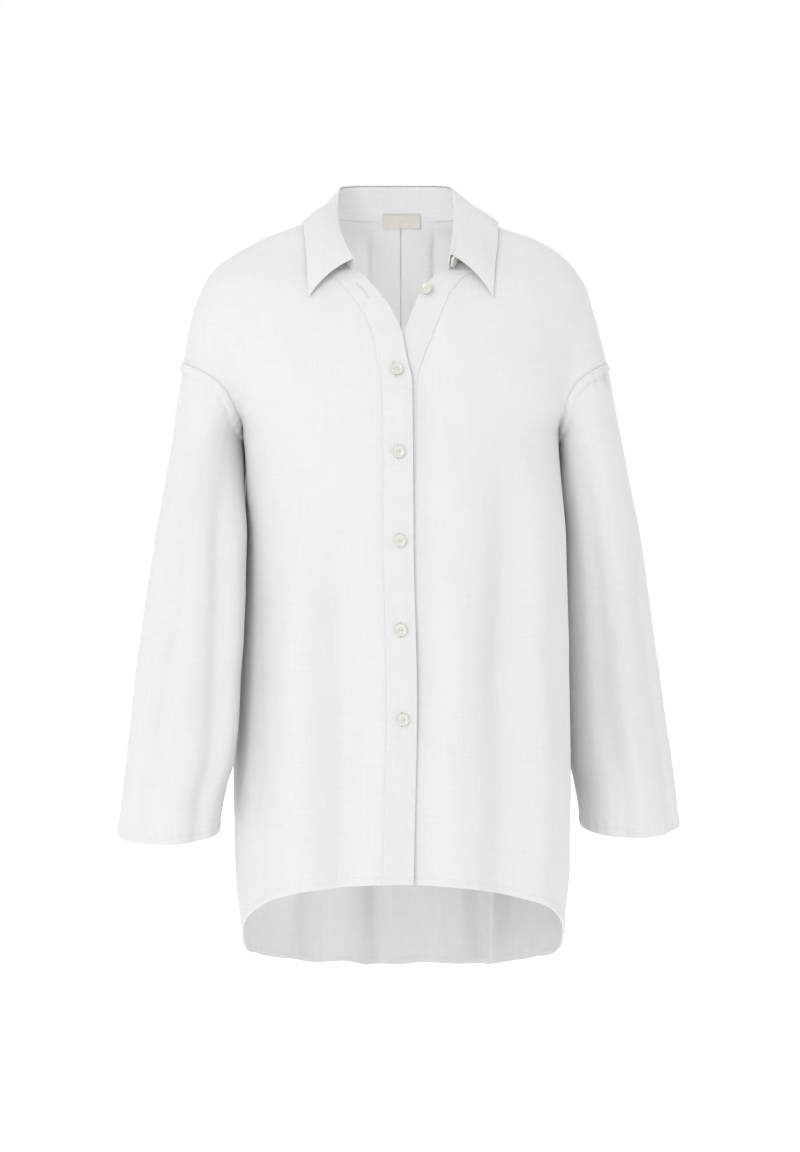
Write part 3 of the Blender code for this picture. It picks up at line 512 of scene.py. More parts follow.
def fold(x, z, row, waver, swell):
    """Height of one long fold over the form: it fades in at its top, wavers and swells."""
    top_x, low_x, top_z, low_z, width, depth = row
    down = (top_z - z) / (top_z - low_z)
    centre = top_x + (low_x - top_x) * np.clip(down, 0, 1) + waver
    return depth * (1 + swell) * smooth(down * 3.0) * np.exp(-((x - centre) / width)**2)


def soft_folds(folds, x, z):
    height = np.zeros(np.shape(x))
    for number, row in enumerate(folds):
        height += fold(x, z, row, FOLD_WAVER * ripple(z * 9, z * 0 + number, number),
                       FOLD_SWELL * ripple(z * 7, z * 0 + 3.3 * number, 2))
    return height


def slack(u, v, seed):
    """The small unevenness of linen that has been worn and steamed."""
    return (SLACK_WIDE * ripple(u * 16, v * 9, seed)
            + SLACK_FINE * ripple(u * 45, v * 26, seed + 1))


def sewn(distance, along, seed, depth, every):
    """Puckers beside a line of stitches: short shallow waves that die away from the line."""
    bunched = 1.7 * ripple(along / every * 0.4, along * 0, seed)
    deeper = 0.6 + 0.4 * ripple(along / every * 0.3, along * 0 + 9, seed)
    wave = np.sin(along * 2 * math.pi / every + bunched)
    return depth * deeper * wave * np.exp(-(distance / PUCKER_REACH)**2)


def turned(to_edge):
    """1 on a turned hem and 0 on the cloth above it."""
    return smooth((HEM_WIDTH - to_edge) / HEM_TURN)


def cloth_normals(grid, out, around=False):
    """Directions square to a grid of cloth; out is 1 or -1, whichever faces outward."""
    if around:
        wrapped = np.concatenate((grid[:, -1:], grid, grid[:, :1]), axis=1)
        along = np.gradient(wrapped, axis=1)[:, 1:-1]
    else:
        along = np.gradient(grid, axis=1)
    normals = np.cross(along, np.gradient(grid, axis=0)) * out
    return normals / np.maximum(np.linalg.norm(normals, axis=2, keepdims=True), 1e-12)


def put(name, data):
    """A new object in the scene."""
    made = bpy.data.objects.new(name, data)
    bpy.context.scene.collection.objects.link(made)
    return made


def cloth(name, outer, inner, threads, shade, around=False):
    """A closed thin piece between two grids of points; threads are its cloth coordinates."""
    rows, columns = outer.shape[:2]
    count = rows * columns
    index = np.arange(count).reshape(rows, columns)
    after = np.roll(index, -1, axis=1)
    if not around:
        index, after = index[:, :-1], after[:, :-1]
    a, b, c, d = index[:-1], after[:-1], after[1:], index[1:]
    walls = [np.stack((a, b, c, d), -1).reshape(-1, 4),
             np.stack((a, d, c, b), -1).reshape(-1, 4) + count]
    top, top_after, low, low_after = index[0], after[0], index[-1], after[-1]
    walls.append(np.stack((top_after, top, top + count, top_after + count), -1))
    walls.append(np.stack((low, low_after, low_after + count, low + count), -1))
    if not around:
        first = np.arange(rows) * columns
        last = first + columns - 1
        walls.append(np.stack((first[:-1], first[1:], first[1:] + count, first[:-1] + count), -1))
        walls.append(np.stack((last[1:], last[:-1], last[:-1] + count, last[1:] + count), -1))
    mesh = bpy.data.meshes.new(name)
    points = np.concatenate((outer.reshape(-1, 3), inner.reshape(-1, 3)))
    mesh.from_pydata(points.tolist(), [], np.concatenate(walls).tolist())
    coordinates = np.concatenate((threads.reshape(-1, 2), threads.reshape(-1, 2)))
    corners = np.empty(len(mesh.loops), dtype=np.int32)
    mesh.loops.foreach_get("vertex_index", corners)
    mesh.uv_layers.new(name="cloth").data.foreach_set("uv", coordinates[corners].ravel())
    first, second, third = (points[np.concatenate(walls[:2])[:, corner]] for corner in range(3))
    if np.einsum("ij,ij->", first, np.cross(second, third)) < 0:      # its volume: inside out
        mesh.flip_normals()
    mesh.shade_smooth()
    mesh.set_sharp_from_angle(angle=math.radians(60))
    mesh.materials.append(shade)
    return put(name, mesh)


BAND_STATIONS = np.array((0.0, 0.0012, 0.0026, 0.0045, 0.009, 0.0150, 0.0210, 0.0255, 0.0274,
                          0.0288, 0.0300))
FRONT_COLUMNS = 60
SEAM_CALM = 6                                        # power at which folds die toward a side seam
EDGE_EASE, SEAM_EASE, HEM_EASE = 0.05, 0.02, 0.03    # over which the slack comes in
ARMHOLE_SEWN, ARMHOLE_EASE = 0.004, 0.003
FRONT_PUCKERS, ARMHOLE_PUCKERS = (0.0009, 0.012), (0.0007, 0.013)    # depth, and run of each
GRIDS = {}


def front_stations(side, level):
    """Shares of the way across a front, the band's own stations first."""
    wide = ends_at(side, FRONT, level) - starts_at(side, level)
    band = BAND_STATIONS * min(1.0, 0.4 * wide / BAND_WIDTH) / wide
    plain = np.linspace(0, 1, FRONT_COLUMNS + 1)[1:]
    return np.concatenate((band, band[-1] + (1 - band[-1]) * plain))


def front_grid(side):
    shares = np.array([front_stations(side, level) for level in LEVELS])
    levels = np.repeat(LEVELS[:, None], shares.shape[1], axis=1)
    z = levels + hem_shift(FRONT, shares, levels)
    start, end = starts_at(side, z), ends_at(side, FRONT, z)
    run = start + shares * (end - start)
    base = meet_seam(side, on_form(side, FRONT, run, z), run, end, LEVELS)
    x = base[..., 0]
    height = soft_folds(FRONT_FOLDS, x, z) * (1 - shares**SEAM_CALM)
    if side == LEFT:
        lap = 1 - smooth((x - LAP_FULL) / (LAP_END - LAP_FULL))
        height -= LAP_DEPTH * lap * smooth((LAP_TOP_Z - z) / LAP_FADE)
    to_hem, to_seam = levels - HEM_SIDE_Z, end - run
    calm = smooth((run - start) / EDGE_EASE) * smooth(to_seam / SEAM_EASE)
    height += slack(run, z, seed=3 + side) * calm * smooth(to_hem / HEM_EASE)
    height += HEM_RIDGE * turned(to_hem)
    height += sewn(to_hem - HEM_WIDTH, run, 5 + side, *FRONT_PUCKERS)
    at_armhole = (z > UNDERARM_Z) & (z < ARMHOLE_TOP_Z + 0.001)
    beside = sewn(to_seam - ARMHOLE_SEWN, z, 8 + side, *ARMHOLE_PUCKERS)
    height += np.where(at_armhole, beside * smooth(to_seam / ARMHOLE_EASE), 0)
    outer = base + cloth_normals(base, -side) * height[..., None]
    normals = cloth_normals(outer, -side)
    wall = LINEN_WALL + HEM_UNDER * turned(to_hem)
    GRIDS["front_" + WORD[side]] = (outer, normals)
    return outer, outer - normals * wall[..., None], np.stack((run * side, z), axis=-1)


for side in (RIGHT, LEFT):
    name = "front_" + WORD[side]
    outer, inner, threads = front_grid(side)
    piece = cloth(name + "_linen", outer, inner, threads, linen)
    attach(piece, "root")
    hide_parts(name)

# -------------------------------------------------------------------------------------------------
# The back. One longer panel of the same linen with a centre box pleat, pressed flat under the
# collar and opening into the cloth's fullness below. It is seamed to the fronts at the shoulders
# and sides, and its inside shows in the neck and below the front hem.

BACK_WALL = 0.0009
BACK_COLUMNS = 64
BACK_PUCKERS = (0.0010, 0.013)
PLEAT_HALF = 0.0315
PLEAT_ROUND, PLEAT_TIGHT = 0.0016, 0.0005      # its outer and inner turns
PLEAT_TIP = PLEAT_TIGHT + 0.00096              # its inner fold, just short of the centre
PLEAT_SHUT_Z, PLEAT_OPEN_Z = -0.10, -0.42
PLEAT_LIFT = 0.010
OPEN_SHARE = 0.34                              # of half the back: the pleat's own cloth, opened
WAVE_HEIGHT, WAVE_WIDTH, WAVE_FADE = 0.011, 0.36, 0.40
SHELF_HEIGHT, SHELF_START, SHELF_END = 0.0030, 0.0295, 0.05    # plain cloth beside the shut pleat
SHELF_TOP_Z = NECK_POINT_Z - 0.002
NECK_BACK_DROP, NECK_DIP_Z = 0.002, -0.03
HEM_WAVE = 0.0028
PROBE_Z, PROBE_CLEAR, PROBE_RUN = 0.002, 1e-5, 0.0012    # steps at which the form's slope is read


def pleat_profile():
    """Half of the folded pleat: run and height of the cloth's outer face."""
    top = 2 * (PLEAT_ROUND + PLEAT_TIGHT)
    points = [(PLEAT_HALF * share, top) for share in np.linspace(0, 1, 9)]
    for turn in np.linspace(0, math.pi, 9)[1:]:
        points.append((PLEAT_HALF + PLEAT_ROUND * math.sin(turn),
                       top - PLEAT_ROUND * (1 - math.cos(turn))))
    low = top - 2 * PLEAT_ROUND
    points += [(PLEAT_HALF + (PLEAT_TIP - PLEAT_HALF) * share, low)
               for share in np.linspace(0, 1, 8)[1:]]
    for turn in np.linspace(0, math.pi, 7)[1:]:
        points.append((PLEAT_TIP - PLEAT_TIGHT * math.sin(turn),
                       low - PLEAT_TIGHT * (1 - math.cos(turn))))
    return np.array(points)


PLEAT = pleat_profile()
PLEAT_ALONG = np.concatenate(([0], np.cumsum(np.hypot(*np.diff(PLEAT, axis=0).T))))


def shut(z):
    """1 where the pleat is pressed shut and 0 where it is open."""
    return 1 - smooth((PLEAT_SHUT_Z - z) / (PLEAT_SHUT_Z - PLEAT_OPEN_Z))


def back_profile(z, end, closed):
    """Half a level line of the back: runs and heights of the pleat, then of the plain cloth."""
    plain = np.linspace(0, 1, BACK_COLUMNS + 1)[1:]
    inward = PLEAT_ALONG / PLEAT_ALONG[-1]
    tip = PLEAT[-1][0]
    folded = np.concatenate((PLEAT[:, 0], tip + plain * (end - tip)))
    spread = inward * OPEN_SHARE * end
    opened = np.concatenate((spread, spread[-1] + plain * (end - spread[-1])))
    runs = folded * closed + opened * (1 - closed)
    wave = (WAVE_HEIGHT * np.cos(math.pi * opened / (WAVE_WIDTH * end))
            * np.exp(-(opened / (WAVE_FADE * end))**4))
    heights = np.concatenate((PLEAT[:, 1], np.zeros(len(plain)))) * closed + wave * (1 - closed)
    beside = runs[len(PLEAT):]
    shelf = smooth((beside - SHELF_START) / 0.004) * (1 - smooth((beside - SHELF_END) / 0.04))
    heights[len(PLEAT):] += SHELF_HEIGHT * closed * shelf * smooth((SHELF_TOP_Z - z) / 0.02)
    heights[:len(PLEAT)] += PLEAT_LIFT * 4 * closed * (1 - closed) * (1 - inward)
    return runs, heights


def back_half(side):
    """Outer and inner points of half the back, from the centre line to the seams, row by row."""
    outer, inner, threads = [], [], []
    for level in LEVELS:
        end = ends_at(side, BACK, level)
        runs, _ = back_profile(level, end, shut(level))
        share = np.clip(runs / end, 0, 1)
        in_neck = smooth((level - NECK_DIP_Z) / (NECK_POINT_Z - NECK_DIP_Z))
        dip = -NECK_BACK_DROP * (1 - share**2) * in_neck
        wavy = HEM_WAVE * ripple(20 + side * share * 8, share * 0, 61) * toward_hem(level)
        z = level + hem_shift(BACK, share, level) + dip + wavy * (1 - share**SEAM_CALM)
        ends = ends_at(side, BACK, z)
        row_runs = runs * ends / end
        closed = shut(z)
        _, heights = back_profile(level, end, float(np.mean(closed[:len(PLEAT)])))
        tangent = np.stack((np.gradient(row_runs), np.gradient(heights)), axis=1)
        tangent /= np.linalg.norm(tangent, axis=1, keepdims=True)
        square = np.stack((-tangent[:, 1], tangent[:, 0]), axis=1)
        square[0] = square[-1] = (0.0, 1.0)
        base = meet_seam(side, on_form(side, BACK, row_runs, z)[None], row_runs[None], ends[None],
                         np.array([level]))[0]
        to_hem, to_seam = level - HEM_SIDE_Z, ends - row_runs
        fade = (1 - share**SEAM_CALM) * (1 - closed)
        calm = (smooth(to_seam / SEAM_EASE) * smooth(to_hem / HEM_EASE)
                * smooth((row_runs - 0.03) / 0.03))
        heights += soft_folds(BACK_FOLDS, base[:, 0], z) * fade
        heights += slack(row_runs, z, seed=11 + side) * calm
        heights += HEM_RIDGE * turned(to_hem)
        heights += sewn(to_hem - HEM_WIDTH, row_runs, 21 + side, *BACK_PUCKERS)
        if UNDERARM_Z < level < ARMHOLE_TOP_Z:
            beside = sewn(to_seam - ARMHOLE_SEWN, z, 24 + side, *ARMHOLE_PUCKERS)
            heights += beside * smooth(to_seam / ARMHOLE_EASE)
        wall = BACK_WALL + HEM_UNDER * turned(to_hem)
        above = np.where(z > UNDERARM_Z, z + PROBE_Z, np.minimum(z + PROBE_Z, UNDERARM_Z))
        below = np.where(z <= UNDERARM_Z, z - PROBE_Z,
                         np.maximum(z - PROBE_Z, UNDERARM_Z + PROBE_CLEAR))
        near = np.minimum(row_runs + PROBE_RUN, FORM[side, BACK].end(z))
        across = on_form(side, BACK, near, z) - on_form(side, BACK, near - 2 * PROBE_RUN, z)
        up = on_form(side, BACK, row_runs, above) - on_form(side, BACK, row_runs, below)
        normal = np.cross(across, up) * (-side)
        normal /= np.linalg.norm(normal, axis=1, keepdims=True)
        outer.append(base + normal * heights[:, None])
        under = on_form(side, BACK, row_runs - wall * square[:, 0], z)
        inner.append(under + normal * (heights - wall * square[:, 1])[:, None])
        along = np.concatenate((PLEAT_ALONG, PLEAT_ALONG[-1] + row_runs[len(PLEAT):]))
        threads.append(np.stack((side * along, z), axis=-1))
    return np.array(outer), np.array(inner), np.array(threads)


halves = {side: back_half(side) for side in (RIGHT, LEFT)}
outer, inner, threads = (np.concatenate((halves[RIGHT][part][:, :0:-1], halves[LEFT][part]), axis=1)
                         for part in range(3))
GRIDS["back"] = (outer, cloth_normals(outer, 1))
GRIDS["back_inside"] = (inner, cloth_normals(inner, -1))
back = cloth("back_linen", outer, inner, threads, linen)
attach(back, "root")
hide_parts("back")

# -------------------------------------------------------------------------------------------------
# The sleeves. Each is one wide straight tube of linen, felled to the dropped armhole with a flat
# raised seam and turned up at the wrist to a narrow plain hem.

CUFF_MIDDLE_Z, CUFF_TILT = -0.6130, 0.0120
SLEEVE_LENGTH, SLEEVE_RADIUS = 0.43, 0.048
SLEEVE_SIDES = 96
SLEEVE_WAVER, SLEEVE_SWELL = 5, 0.3
SLEEVE_PUCKERS = (0.0011, 0.012)
FELL_WIDTH, FELL_RISE = 0.0095, 0.0018
FELL_TURN, FELL_GROOVE = 0.0012, 0.0006
FELL_ROWS = np.array((0, 0.0015, 0.003, 0.005, 0.007, 0.0085, 0.0095, 0.0110))
CUFF_ROWS = np.array((0.0110, 0.0090, 0.0076, 0.0064, 0.0040, 0.0020, 0.0))
SLEEVE_DOWNS = np.concatenate((FELL_ROWS / SLEEVE_LENGTH, np.linspace(0.035, 0.962, 92),
                               1 - CUFF_ROWS / SLEEVE_LENGTH))
# Fullness at the front of the right sleeve, and a small tuck behind the left one's seam, each at
# so many degrees from the underarm.
FULL_HEIGHT, FULL_AT, FULL_WIDTH = 0.009, 34, 22
FULL_TOP_Z, FULL_LOW_Z = -0.235, -0.60
TUCK_DEPTH, TUCK_AT, TUCK_WIDTH = 0.0055, 150, 6
TUCK_DOWN, TUCK_TALL = 0.013, 0.008


def sleeve_grid(side):
    angles = 2 * math.pi * np.arange(SLEEVE_SIDES) / SLEEVE_SIDES
    top = ARMHOLE.read("z", np.where(angles <= math.pi, angles, 2 * math.pi - angles))
    cuff = CUFF_MIDDLE_Z - CUFF_TILT * np.sin(angles)
    z = top + (cuff - top) * SLEEVE_DOWNS[:, None]
    angle = np.broadcast_to(angles, z.shape)
    ahead = angle <= math.pi
    base, out = np.zeros(z.shape + (3,)), np.zeros(z.shape + (3,))
    for facing, where in ((FRONT, ahead), (BACK, ~ahead)):
        level, turn = z[where], angle[where]
        centre, width, depth = arm_lobe(side, facing, level)
        x = centre - width * np.cos(turn)
        above = level > UNDERARM_Z
        y = np.where(above, 0.0, ARMS[side].read("centre", level)) - depth * np.sin(turn)
        for spot in np.flatnonzero(above):
            _, xs, ys = section(side, facing, level[spot], True)
            y[spot] = np.interp(x[spot], xs, ys)
        base[where] = np.stack((side * x, y, level), axis=-1)
        flat = np.stack((-np.cos(turn) / width * side, -np.sin(turn) / depth, x * 0), axis=-1)
        out[where] = flat / np.linalg.norm(flat, axis=1, keepdims=True)
    from_top, to_cuff = top - z, z - cuff
    degrees, girth = np.degrees(angle), angle * SLEEVE_RADIUS
    height = np.zeros(z.shape)
    for number, row in enumerate(SLEEVE_FOLDS[side]):
        height += fold(degrees, z, row, SLEEVE_WAVER * ripple(z * 10, z * 0 + number, 31 + side),
                       SLEEVE_SWELL * ripple(z * 8, z * 0 + 5.1 * number, 32))
    calm = smooth(from_top / SEAM_EASE) * smooth(to_cuff / SEAM_EASE)
    height += slack(girth * np.sin(angle / 2), z, seed=41 + side) * calm
    height += (FELL_RISE * smooth((FELL_WIDTH - from_top) / FELL_TURN)
               * smooth(from_top / 0.001 + 0.4))
    height += sewn(from_top - FELL_WIDTH, girth, 43 + side, *SLEEVE_PUCKERS)
    height += HEM_RIDGE * turned(to_cuff)
    height += sewn(to_cuff - HEM_WIDTH, girth, 45 + side, *SLEEVE_PUCKERS)
    height -= FELL_GROOVE * np.exp(-((from_top - FELL_WIDTH - FELL_TURN) / FELL_TURN)**2)
    if side == RIGHT:
        height += (FULL_HEIGHT * np.exp(-((degrees - FULL_AT) / FULL_WIDTH)**2)
                   * smooth((FULL_TOP_Z - z) / 0.09) * smooth((z - FULL_LOW_Z) / 0.10))
    if side == LEFT:
        height -= TUCK_DEPTH * np.exp(-((degrees - TUCK_AT) / TUCK_WIDTH)**2
                                      - ((from_top - TUCK_DOWN) / TUCK_TALL)**2)
    outer = base + out * height[..., None]
    normals = cloth_normals(outer, -side, around=True)
    wall = LINEN_WALL + HEM_UNDER * turned(to_cuff)
    GRIDS["sleeve_" + WORD[side]] = (outer, normals)
    return outer, outer - normals * wall[..., None], np.stack((girth, z), axis=-1)


for side in (RIGHT, LEFT):
    name = "sleeve_" + WORD[side]
    outer, inner, threads = sleeve_grid(side)
    piece = cloth(name + "_linen", outer, inner, threads, linen, around=True)
    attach(piece, "root")
    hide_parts(name)

# -------------------------------------------------------------------------------------------------
# The two closing bands. Straight double strips of linen, 30 mm wide, laid on the front edges and
# topstitched along both sides; the right one, with the buttonholes, lies on top.

BAND_TOP_Z = -0.0515
BAND_WALL, BAND_FLAT = 0.0010, 0.45            # its fullest, and the share left under its stitches
BAND_SEWN, BAND_FREE = 0.002, 0.026            # from its edge to the stitches, and between them
BAND_UNDER, BAND_OVER = 0.0001, 0.0003
BAND_QUILT = 0.00022


def band_grid(side):
    rows = slice(int(np.argmin(np.abs(LEVELS - BAND_TOP_Z))), len(LEVELS))
    front, normals = (grid[rows, :len(BAND_STATIONS)] for grid in GRIDS["front_" + WORD[side]])
    middle = np.sin(math.pi * np.clip((BAND_STATIONS - BAND_SEWN) / BAND_FREE, 0, 1))**0.5
    puff = BAND_WALL * (BAND_FLAT + (1 - BAND_FLAT) * middle)
    down = (LEVELS[rows] - BAND_TOP_Z)[:, None] * np.ones(len(BAND_STATIONS))
    quilt = BAND_QUILT * ripple(down * 70, BAND_STATIONS * 90 + down * 0, 51 + side)
    face = front + normals * (BAND_OVER + puff + quilt * middle)[..., None]
    GRIDS["placket_" + WORD[side]] = (face, normals)
    run = np.broadcast_to(BAND_STATIONS, down.shape)
    return face, front + normals * BAND_UNDER, np.stack((side * run, down), axis=-1)


for side in (RIGHT, LEFT):
    name = "placket_" + WORD[side]
    face, under, threads = band_grid(side)
    piece = cloth(name + "_linen", face, under, threads, linen)
    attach(piece, "root")
    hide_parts(name)

# -------------------------------------------------------------------------------------------------
# The collar. An upright stand is sewn round the neck, and a pointed leaf turns down over it; both
# are double linen, topstitched near their edges, and both end short of the open front.

STAND_WALL, STAND_HEIGHT, STAND_BOW = 0.0013, 0.034, 0.0010
LEAF_WALL = 0.0013
LEAF_START = {RIGHT: 0.012, LEFT: 0.042}       # where on the stand the leaf begins
LEAF_BULGE = 0.0046
SHOULDER_F = 0.50
ROLL_RISE, ROLL_OUT, ROLL_DROP = 0.0019, 0.0028, 0.0010
ROLL_TURN = ((0, 1), (0.45, 0.85), (0.85, 0.35))    # shares of its way out and of its rise
LEAF_DOWNS = np.concatenate((np.linspace(0, 0.94, 22)[1:], (0.965, 0.985, 1.0)))
PROBE_ALONG = 0.001
# Along half the collar from its front end (0) to the centre back (1): the fold atop the stand, and
# the leaf's edge, lifted off what it lies on.
ROLL_COLUMNS = ("f", "right", "left", "y", "z")
ROLL_LINE = (
    (0.00, 0.0460, 0.0478, -0.0870, -0.0455),
    (0.14, 0.0565, 0.0520, -0.0670, -0.0250),
    (0.31, 0.0640, 0.0545, -0.0350, -0.0010),
    (0.51, 0.0650, 0.0550, 0.0020, 0.0220),
    (0.69, 0.0620, 0.0515, 0.0300, 0.0400),
    (0.84, 0.0380, 0.0330, 0.0530, 0.0448),
    (1.00, 0.0000, 0.0000, 0.0590, 0.0455),
)
LEAF_COLUMNS = ("f", "right", "left", "z", "lift")
LEAF_EDGE = (
    (0.00, 0.0916, 0.0912, -0.0815, 0.0032),
    (0.14, 0.0940, 0.0940, -0.0480, 0.0032),
    (0.29, 0.0962, 0.0970, -0.0225, 0.0030),
    (0.46, 0.0985, 0.0975, -0.0035, 0.0028),
    (0.54, 0.0980, 0.0965, -0.0040, 0.0030),
    (0.69, 0.0800, 0.0790, -0.0060, 0.0055),
    (0.84, 0.0460, 0.0460, -0.0070, 0.0095),
    (1.00, 0.0000, 0.0000, -0.0075, 0.0100),
)
ROLL = Table(ROLL_COLUMNS, ROLL_LINE)
LEAF = Table(LEAF_COLUMNS, LEAF_EDGE)


def lengths(points):
    """Length along a line of points, or along many side by side, at each point."""
    steps = np.linalg.norm(np.diff(points, axis=0), axis=-1)
    return np.concatenate((steps[:1] * 0, np.cumsum(steps, axis=0)))


def read_line(places, along, points):
    """Points of a line at some lengths along it."""
    return np.stack([np.interp(places, along, points[:, axis]) for axis in range(3)], axis=-1)


def neck_seam(side):
    """Close points along the neck seam, from the front to the centre back, and their places."""
    heights = np.linspace(BAND_TOP_Z, NECK_POINT_Z, 40)
    edge = on_form(side, FRONT, starts_at(side, heights), heights)
    top = NECK_POINT_Z - HAIR
    across = np.linspace(starts_at(side, top), ends_at(side, FRONT, top), 12)[1:]
    runs = np.linspace(ends_at(side, BACK, top), 0, 60)[1:]
    share = runs / ends_at(side, BACK, top)
    behind = on_form(side, BACK, runs, NECK_POINT_Z - NECK_BACK_DROP * (1 - share**2))
    points = np.concatenate((edge, on_form(side, FRONT, across, NECK_POINT_Z), behind))
    along = lengths(points)
    return points, along / along[-1]


def around_collar(side, places):
    """Seam, roll line and leaf edge at places along half the collar."""
    points, along = neck_seam(side)
    roll = np.stack((side * ROLL.read(WORD[side], places), ROLL.read("y", places),
                     ROLL.read("z", places)), axis=-1)
    edge = []
    for f in np.clip((places - LEAF_START[side]) / (1 - LEAF_START[side]), 0, 1):
        z = LEAF.read("z", f)
        facing = FRONT if f <= SHOULDER_F else BACK
        x = min(LEAF.read(WORD[side], f), ARMS[side].read("outer", z))
        run = run_at(side, facing, x, z)
        here, before, ahead, below, above = (
            on_form(side, facing, run + aside, z + up)[0]
            for aside, up in ((0, 0), (-PROBE_ALONG, 0), (PROBE_ALONG, 0),
                              (0, -PROBE_Z), (0, PROBE_Z)))
        normal = np.cross(ahead - before, above - below) * (-side * facing)
        edge.append(here + normal / np.linalg.norm(normal) * LEAF.read("lift", f))
    return read_line(places, along, points), roll, np.array(edge)


def both_sides(right, left):
    return np.concatenate((right, left[-2::-1]), axis=0)


halves = [around_collar(side, np.linspace(0, 1, 70)) for side in (RIGHT, LEFT)]
seam, roll = (both_sides(halves[0][part], halves[1][part]) for part in range(2))
rise = np.linspace(0, 1, 15)[:, None, None]
stand = seam + (roll - seam) * rise + np.array((0, STAND_BOW, 0)) * np.sin(math.pi * rise)
normals = cloth_normals(stand, -1)
inner = stand - normals * STAND_WALL
threads = np.stack((np.broadcast_to(lengths(seam), stand.shape[:2]),
                    STAND_HEIGHT * rise[..., 0] * np.ones(len(seam))), axis=-1)
piece = cloth("collar_stand_linen", stand, inner, threads, linen)
GRIDS["collar_stand"] = (inner, -normals)
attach(piece, "root")
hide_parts("collar_stand")

columns = []
for side in (RIGHT, LEFT):
    seam, roll, edge = around_collar(side, np.linspace(LEAF_START[side], 1, 80))
    half = []
    for low, high, rim_end in zip(seam, roll, edge):
        down = (low - high) / np.linalg.norm(low - high)
        away = rim_end - high
        slant = np.array((away[0], away[1], 0.0)) / np.hypot(away[0], away[1]) + (0.0, 0.0, 1.0)
        off = slant - down * slant.dot(down)
        off /= np.linalg.norm(off)
        rim = high + off * ROLL_OUT + down * ROLL_DROP
        column = [high - down * ROLL_RISE * rise + off * ROLL_OUT * out for out, rise in ROLL_TURN]
        column.append(rim)
        square = np.cross(np.cross(away, (0.0, 0.0, 1.0)), away)
        square /= np.linalg.norm(square)
        for t in LEAF_DOWNS:
            bulge = LEAF_BULGE * max(math.sin(math.pi * t), 0.0)**0.8
            column.append(rim + (rim_end - rim) * t + square * bulge)
        half.append(column)
    columns.append(np.array(half))
leaf = both_sides(columns[0], columns[1]).transpose(1, 0, 2)
normals = cloth_normals(leaf, 1)
threads = np.stack((np.broadcast_to(lengths(leaf[-1]), leaf.shape[:2]), lengths(leaf)), axis=-1)
piece = cloth("collar_leaf_linen", leaf, leaf - normals * LEAF_WALL, threads, linen)
GRIDS["collar_leaf"] = (leaf, normals)
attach(piece, "root")
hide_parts("collar_leaf")

# -------------------------------------------------------------------------------------------------
# The label. A bare strip of beige woven tape, turned under at both ends and caught to the neck seam
# at its top, so that it hangs a little loose over the back.

LABEL_LEFT_X, LABEL_RIGHT_X = 0.0197, -0.0187
LABEL_TOP_Z, LABEL_LOW_Z = 0.0165, 0.0030
LABEL_SEAT_Z, LABEL_BEND_Z, LABEL_LEAN = 0.0115, 0.010, 0.21
LABEL_WALL, LABEL_OFF = 0.0005, 0.0018
LABEL_WAVE, LABEL_CURL, LABEL_CURL_AT = 0.0002, 0.0022, 0.75
TAPE_COLOR = (0.545, 0.510, 0.465, 1.0)
TAPE_LIGHT = (0.615, 0.590, 0.550, 1.0)
TAPE_RIBS, RIB_HEIGHT = (260, 2200, 1), 0.0002

tape = Finish("label_tape", Roughness=0.75, Sheen_Weight=0.1)
cross = tape.node("ShaderNodeVectorMath", {"operation": "MULTIPLY"},
                  {0: tape.node("ShaderNodeUVMap", {"uv_map": "cloth"}), 1: TAPE_RIBS})
ribs = tape.node("ShaderNodeTexNoise", {"noise_dimensions": "2D"},
                 {"Vector": cross, "Scale": 1.0, "Detail": 2.0})
tape.shows("Base Color", tape.mix(ribs, TAPE_COLOR, TAPE_LIGHT))
tape.shows("Normal", tape.node("ShaderNodeBump", {}, {"Strength": 0.5, "Distance": 1.0,
                                                       "Height": ribs * RIB_HEIGHT}))
across, down = np.meshgrid(np.linspace(0, 1, 41), np.linspace(0, 1, 17))
x = LABEL_RIGHT_X + (LABEL_LEFT_X - LABEL_RIGHT_X) * across
z = LABEL_TOP_Z + (LABEL_LOW_Z - LABEL_TOP_Z) * down
base = np.zeros(x.shape + (3,))
for side, where in ((RIGHT, x < 0), (LEFT, x >= 0)):
    level = np.minimum(z[where], LABEL_SEAT_Z)
    base[where] = on_form(side, BACK, run_at(side, BACK, np.abs(x[where]), level), level)
lean = np.maximum(z - LABEL_BEND_Z, 0) * LABEL_LEAN
curl = LABEL_CURL * smooth((across - LABEL_CURL_AT) / (1 - LABEL_CURL_AT)) * down**2
pucker = LABEL_WAVE * np.sin(across * 17 + 2 * down) * smooth(down * 2) + curl
y = base[..., 1] - LABEL_OFF - lean - pucker
face = np.stack((x, y - LABEL_WALL, z), axis=-1)
rear = np.stack((x, y, z), axis=-1)
piece = cloth("label_tape", face, rear, np.stack((x, z), axis=-1), tape.material)
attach(piece, "root")
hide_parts("label")

# -------------------------------------------------------------------------------------------------
# The buttons. Turned shell with a raised rim, a dished face and four holes, sewn on with white
# thread. Five are fastened; the two top ones stand open on the left band and on the collar's end.

BUTTON_RADIUS, BUTTON_HEIGHT = 0.0060, 0.0026
BUTTON_SIDES, HOLE_SIDES = 48, 16
HOLE_RADIUS, HOLE_OFF = 0.00062, 0.00125
HOLE_LOW_Z, HOLE_TOP_Z = -0.001, 0.004         # the bit's ends, past both faces
# Round the rim from the back to the dished face: shares of the radius and of the height.
BUTTON_PROFILE = ((0.76, 0.0), (0.90, 0.06), (0.98, 0.30), (1.0, 0.55), (0.985, 0.80),
                  (0.93, 0.95), (0.85, 1.0), (0.77, 0.95), (0.68, 0.80), (0.55, 0.73), (0.30, 0.70))
SHELL_GREEN, SHELL_PINK = (0.43, 0.48, 0.40, 1), (0.72, 0.60, 0.55, 1)
SHELL_PALE = (0.77, 0.77, 0.73, 1)

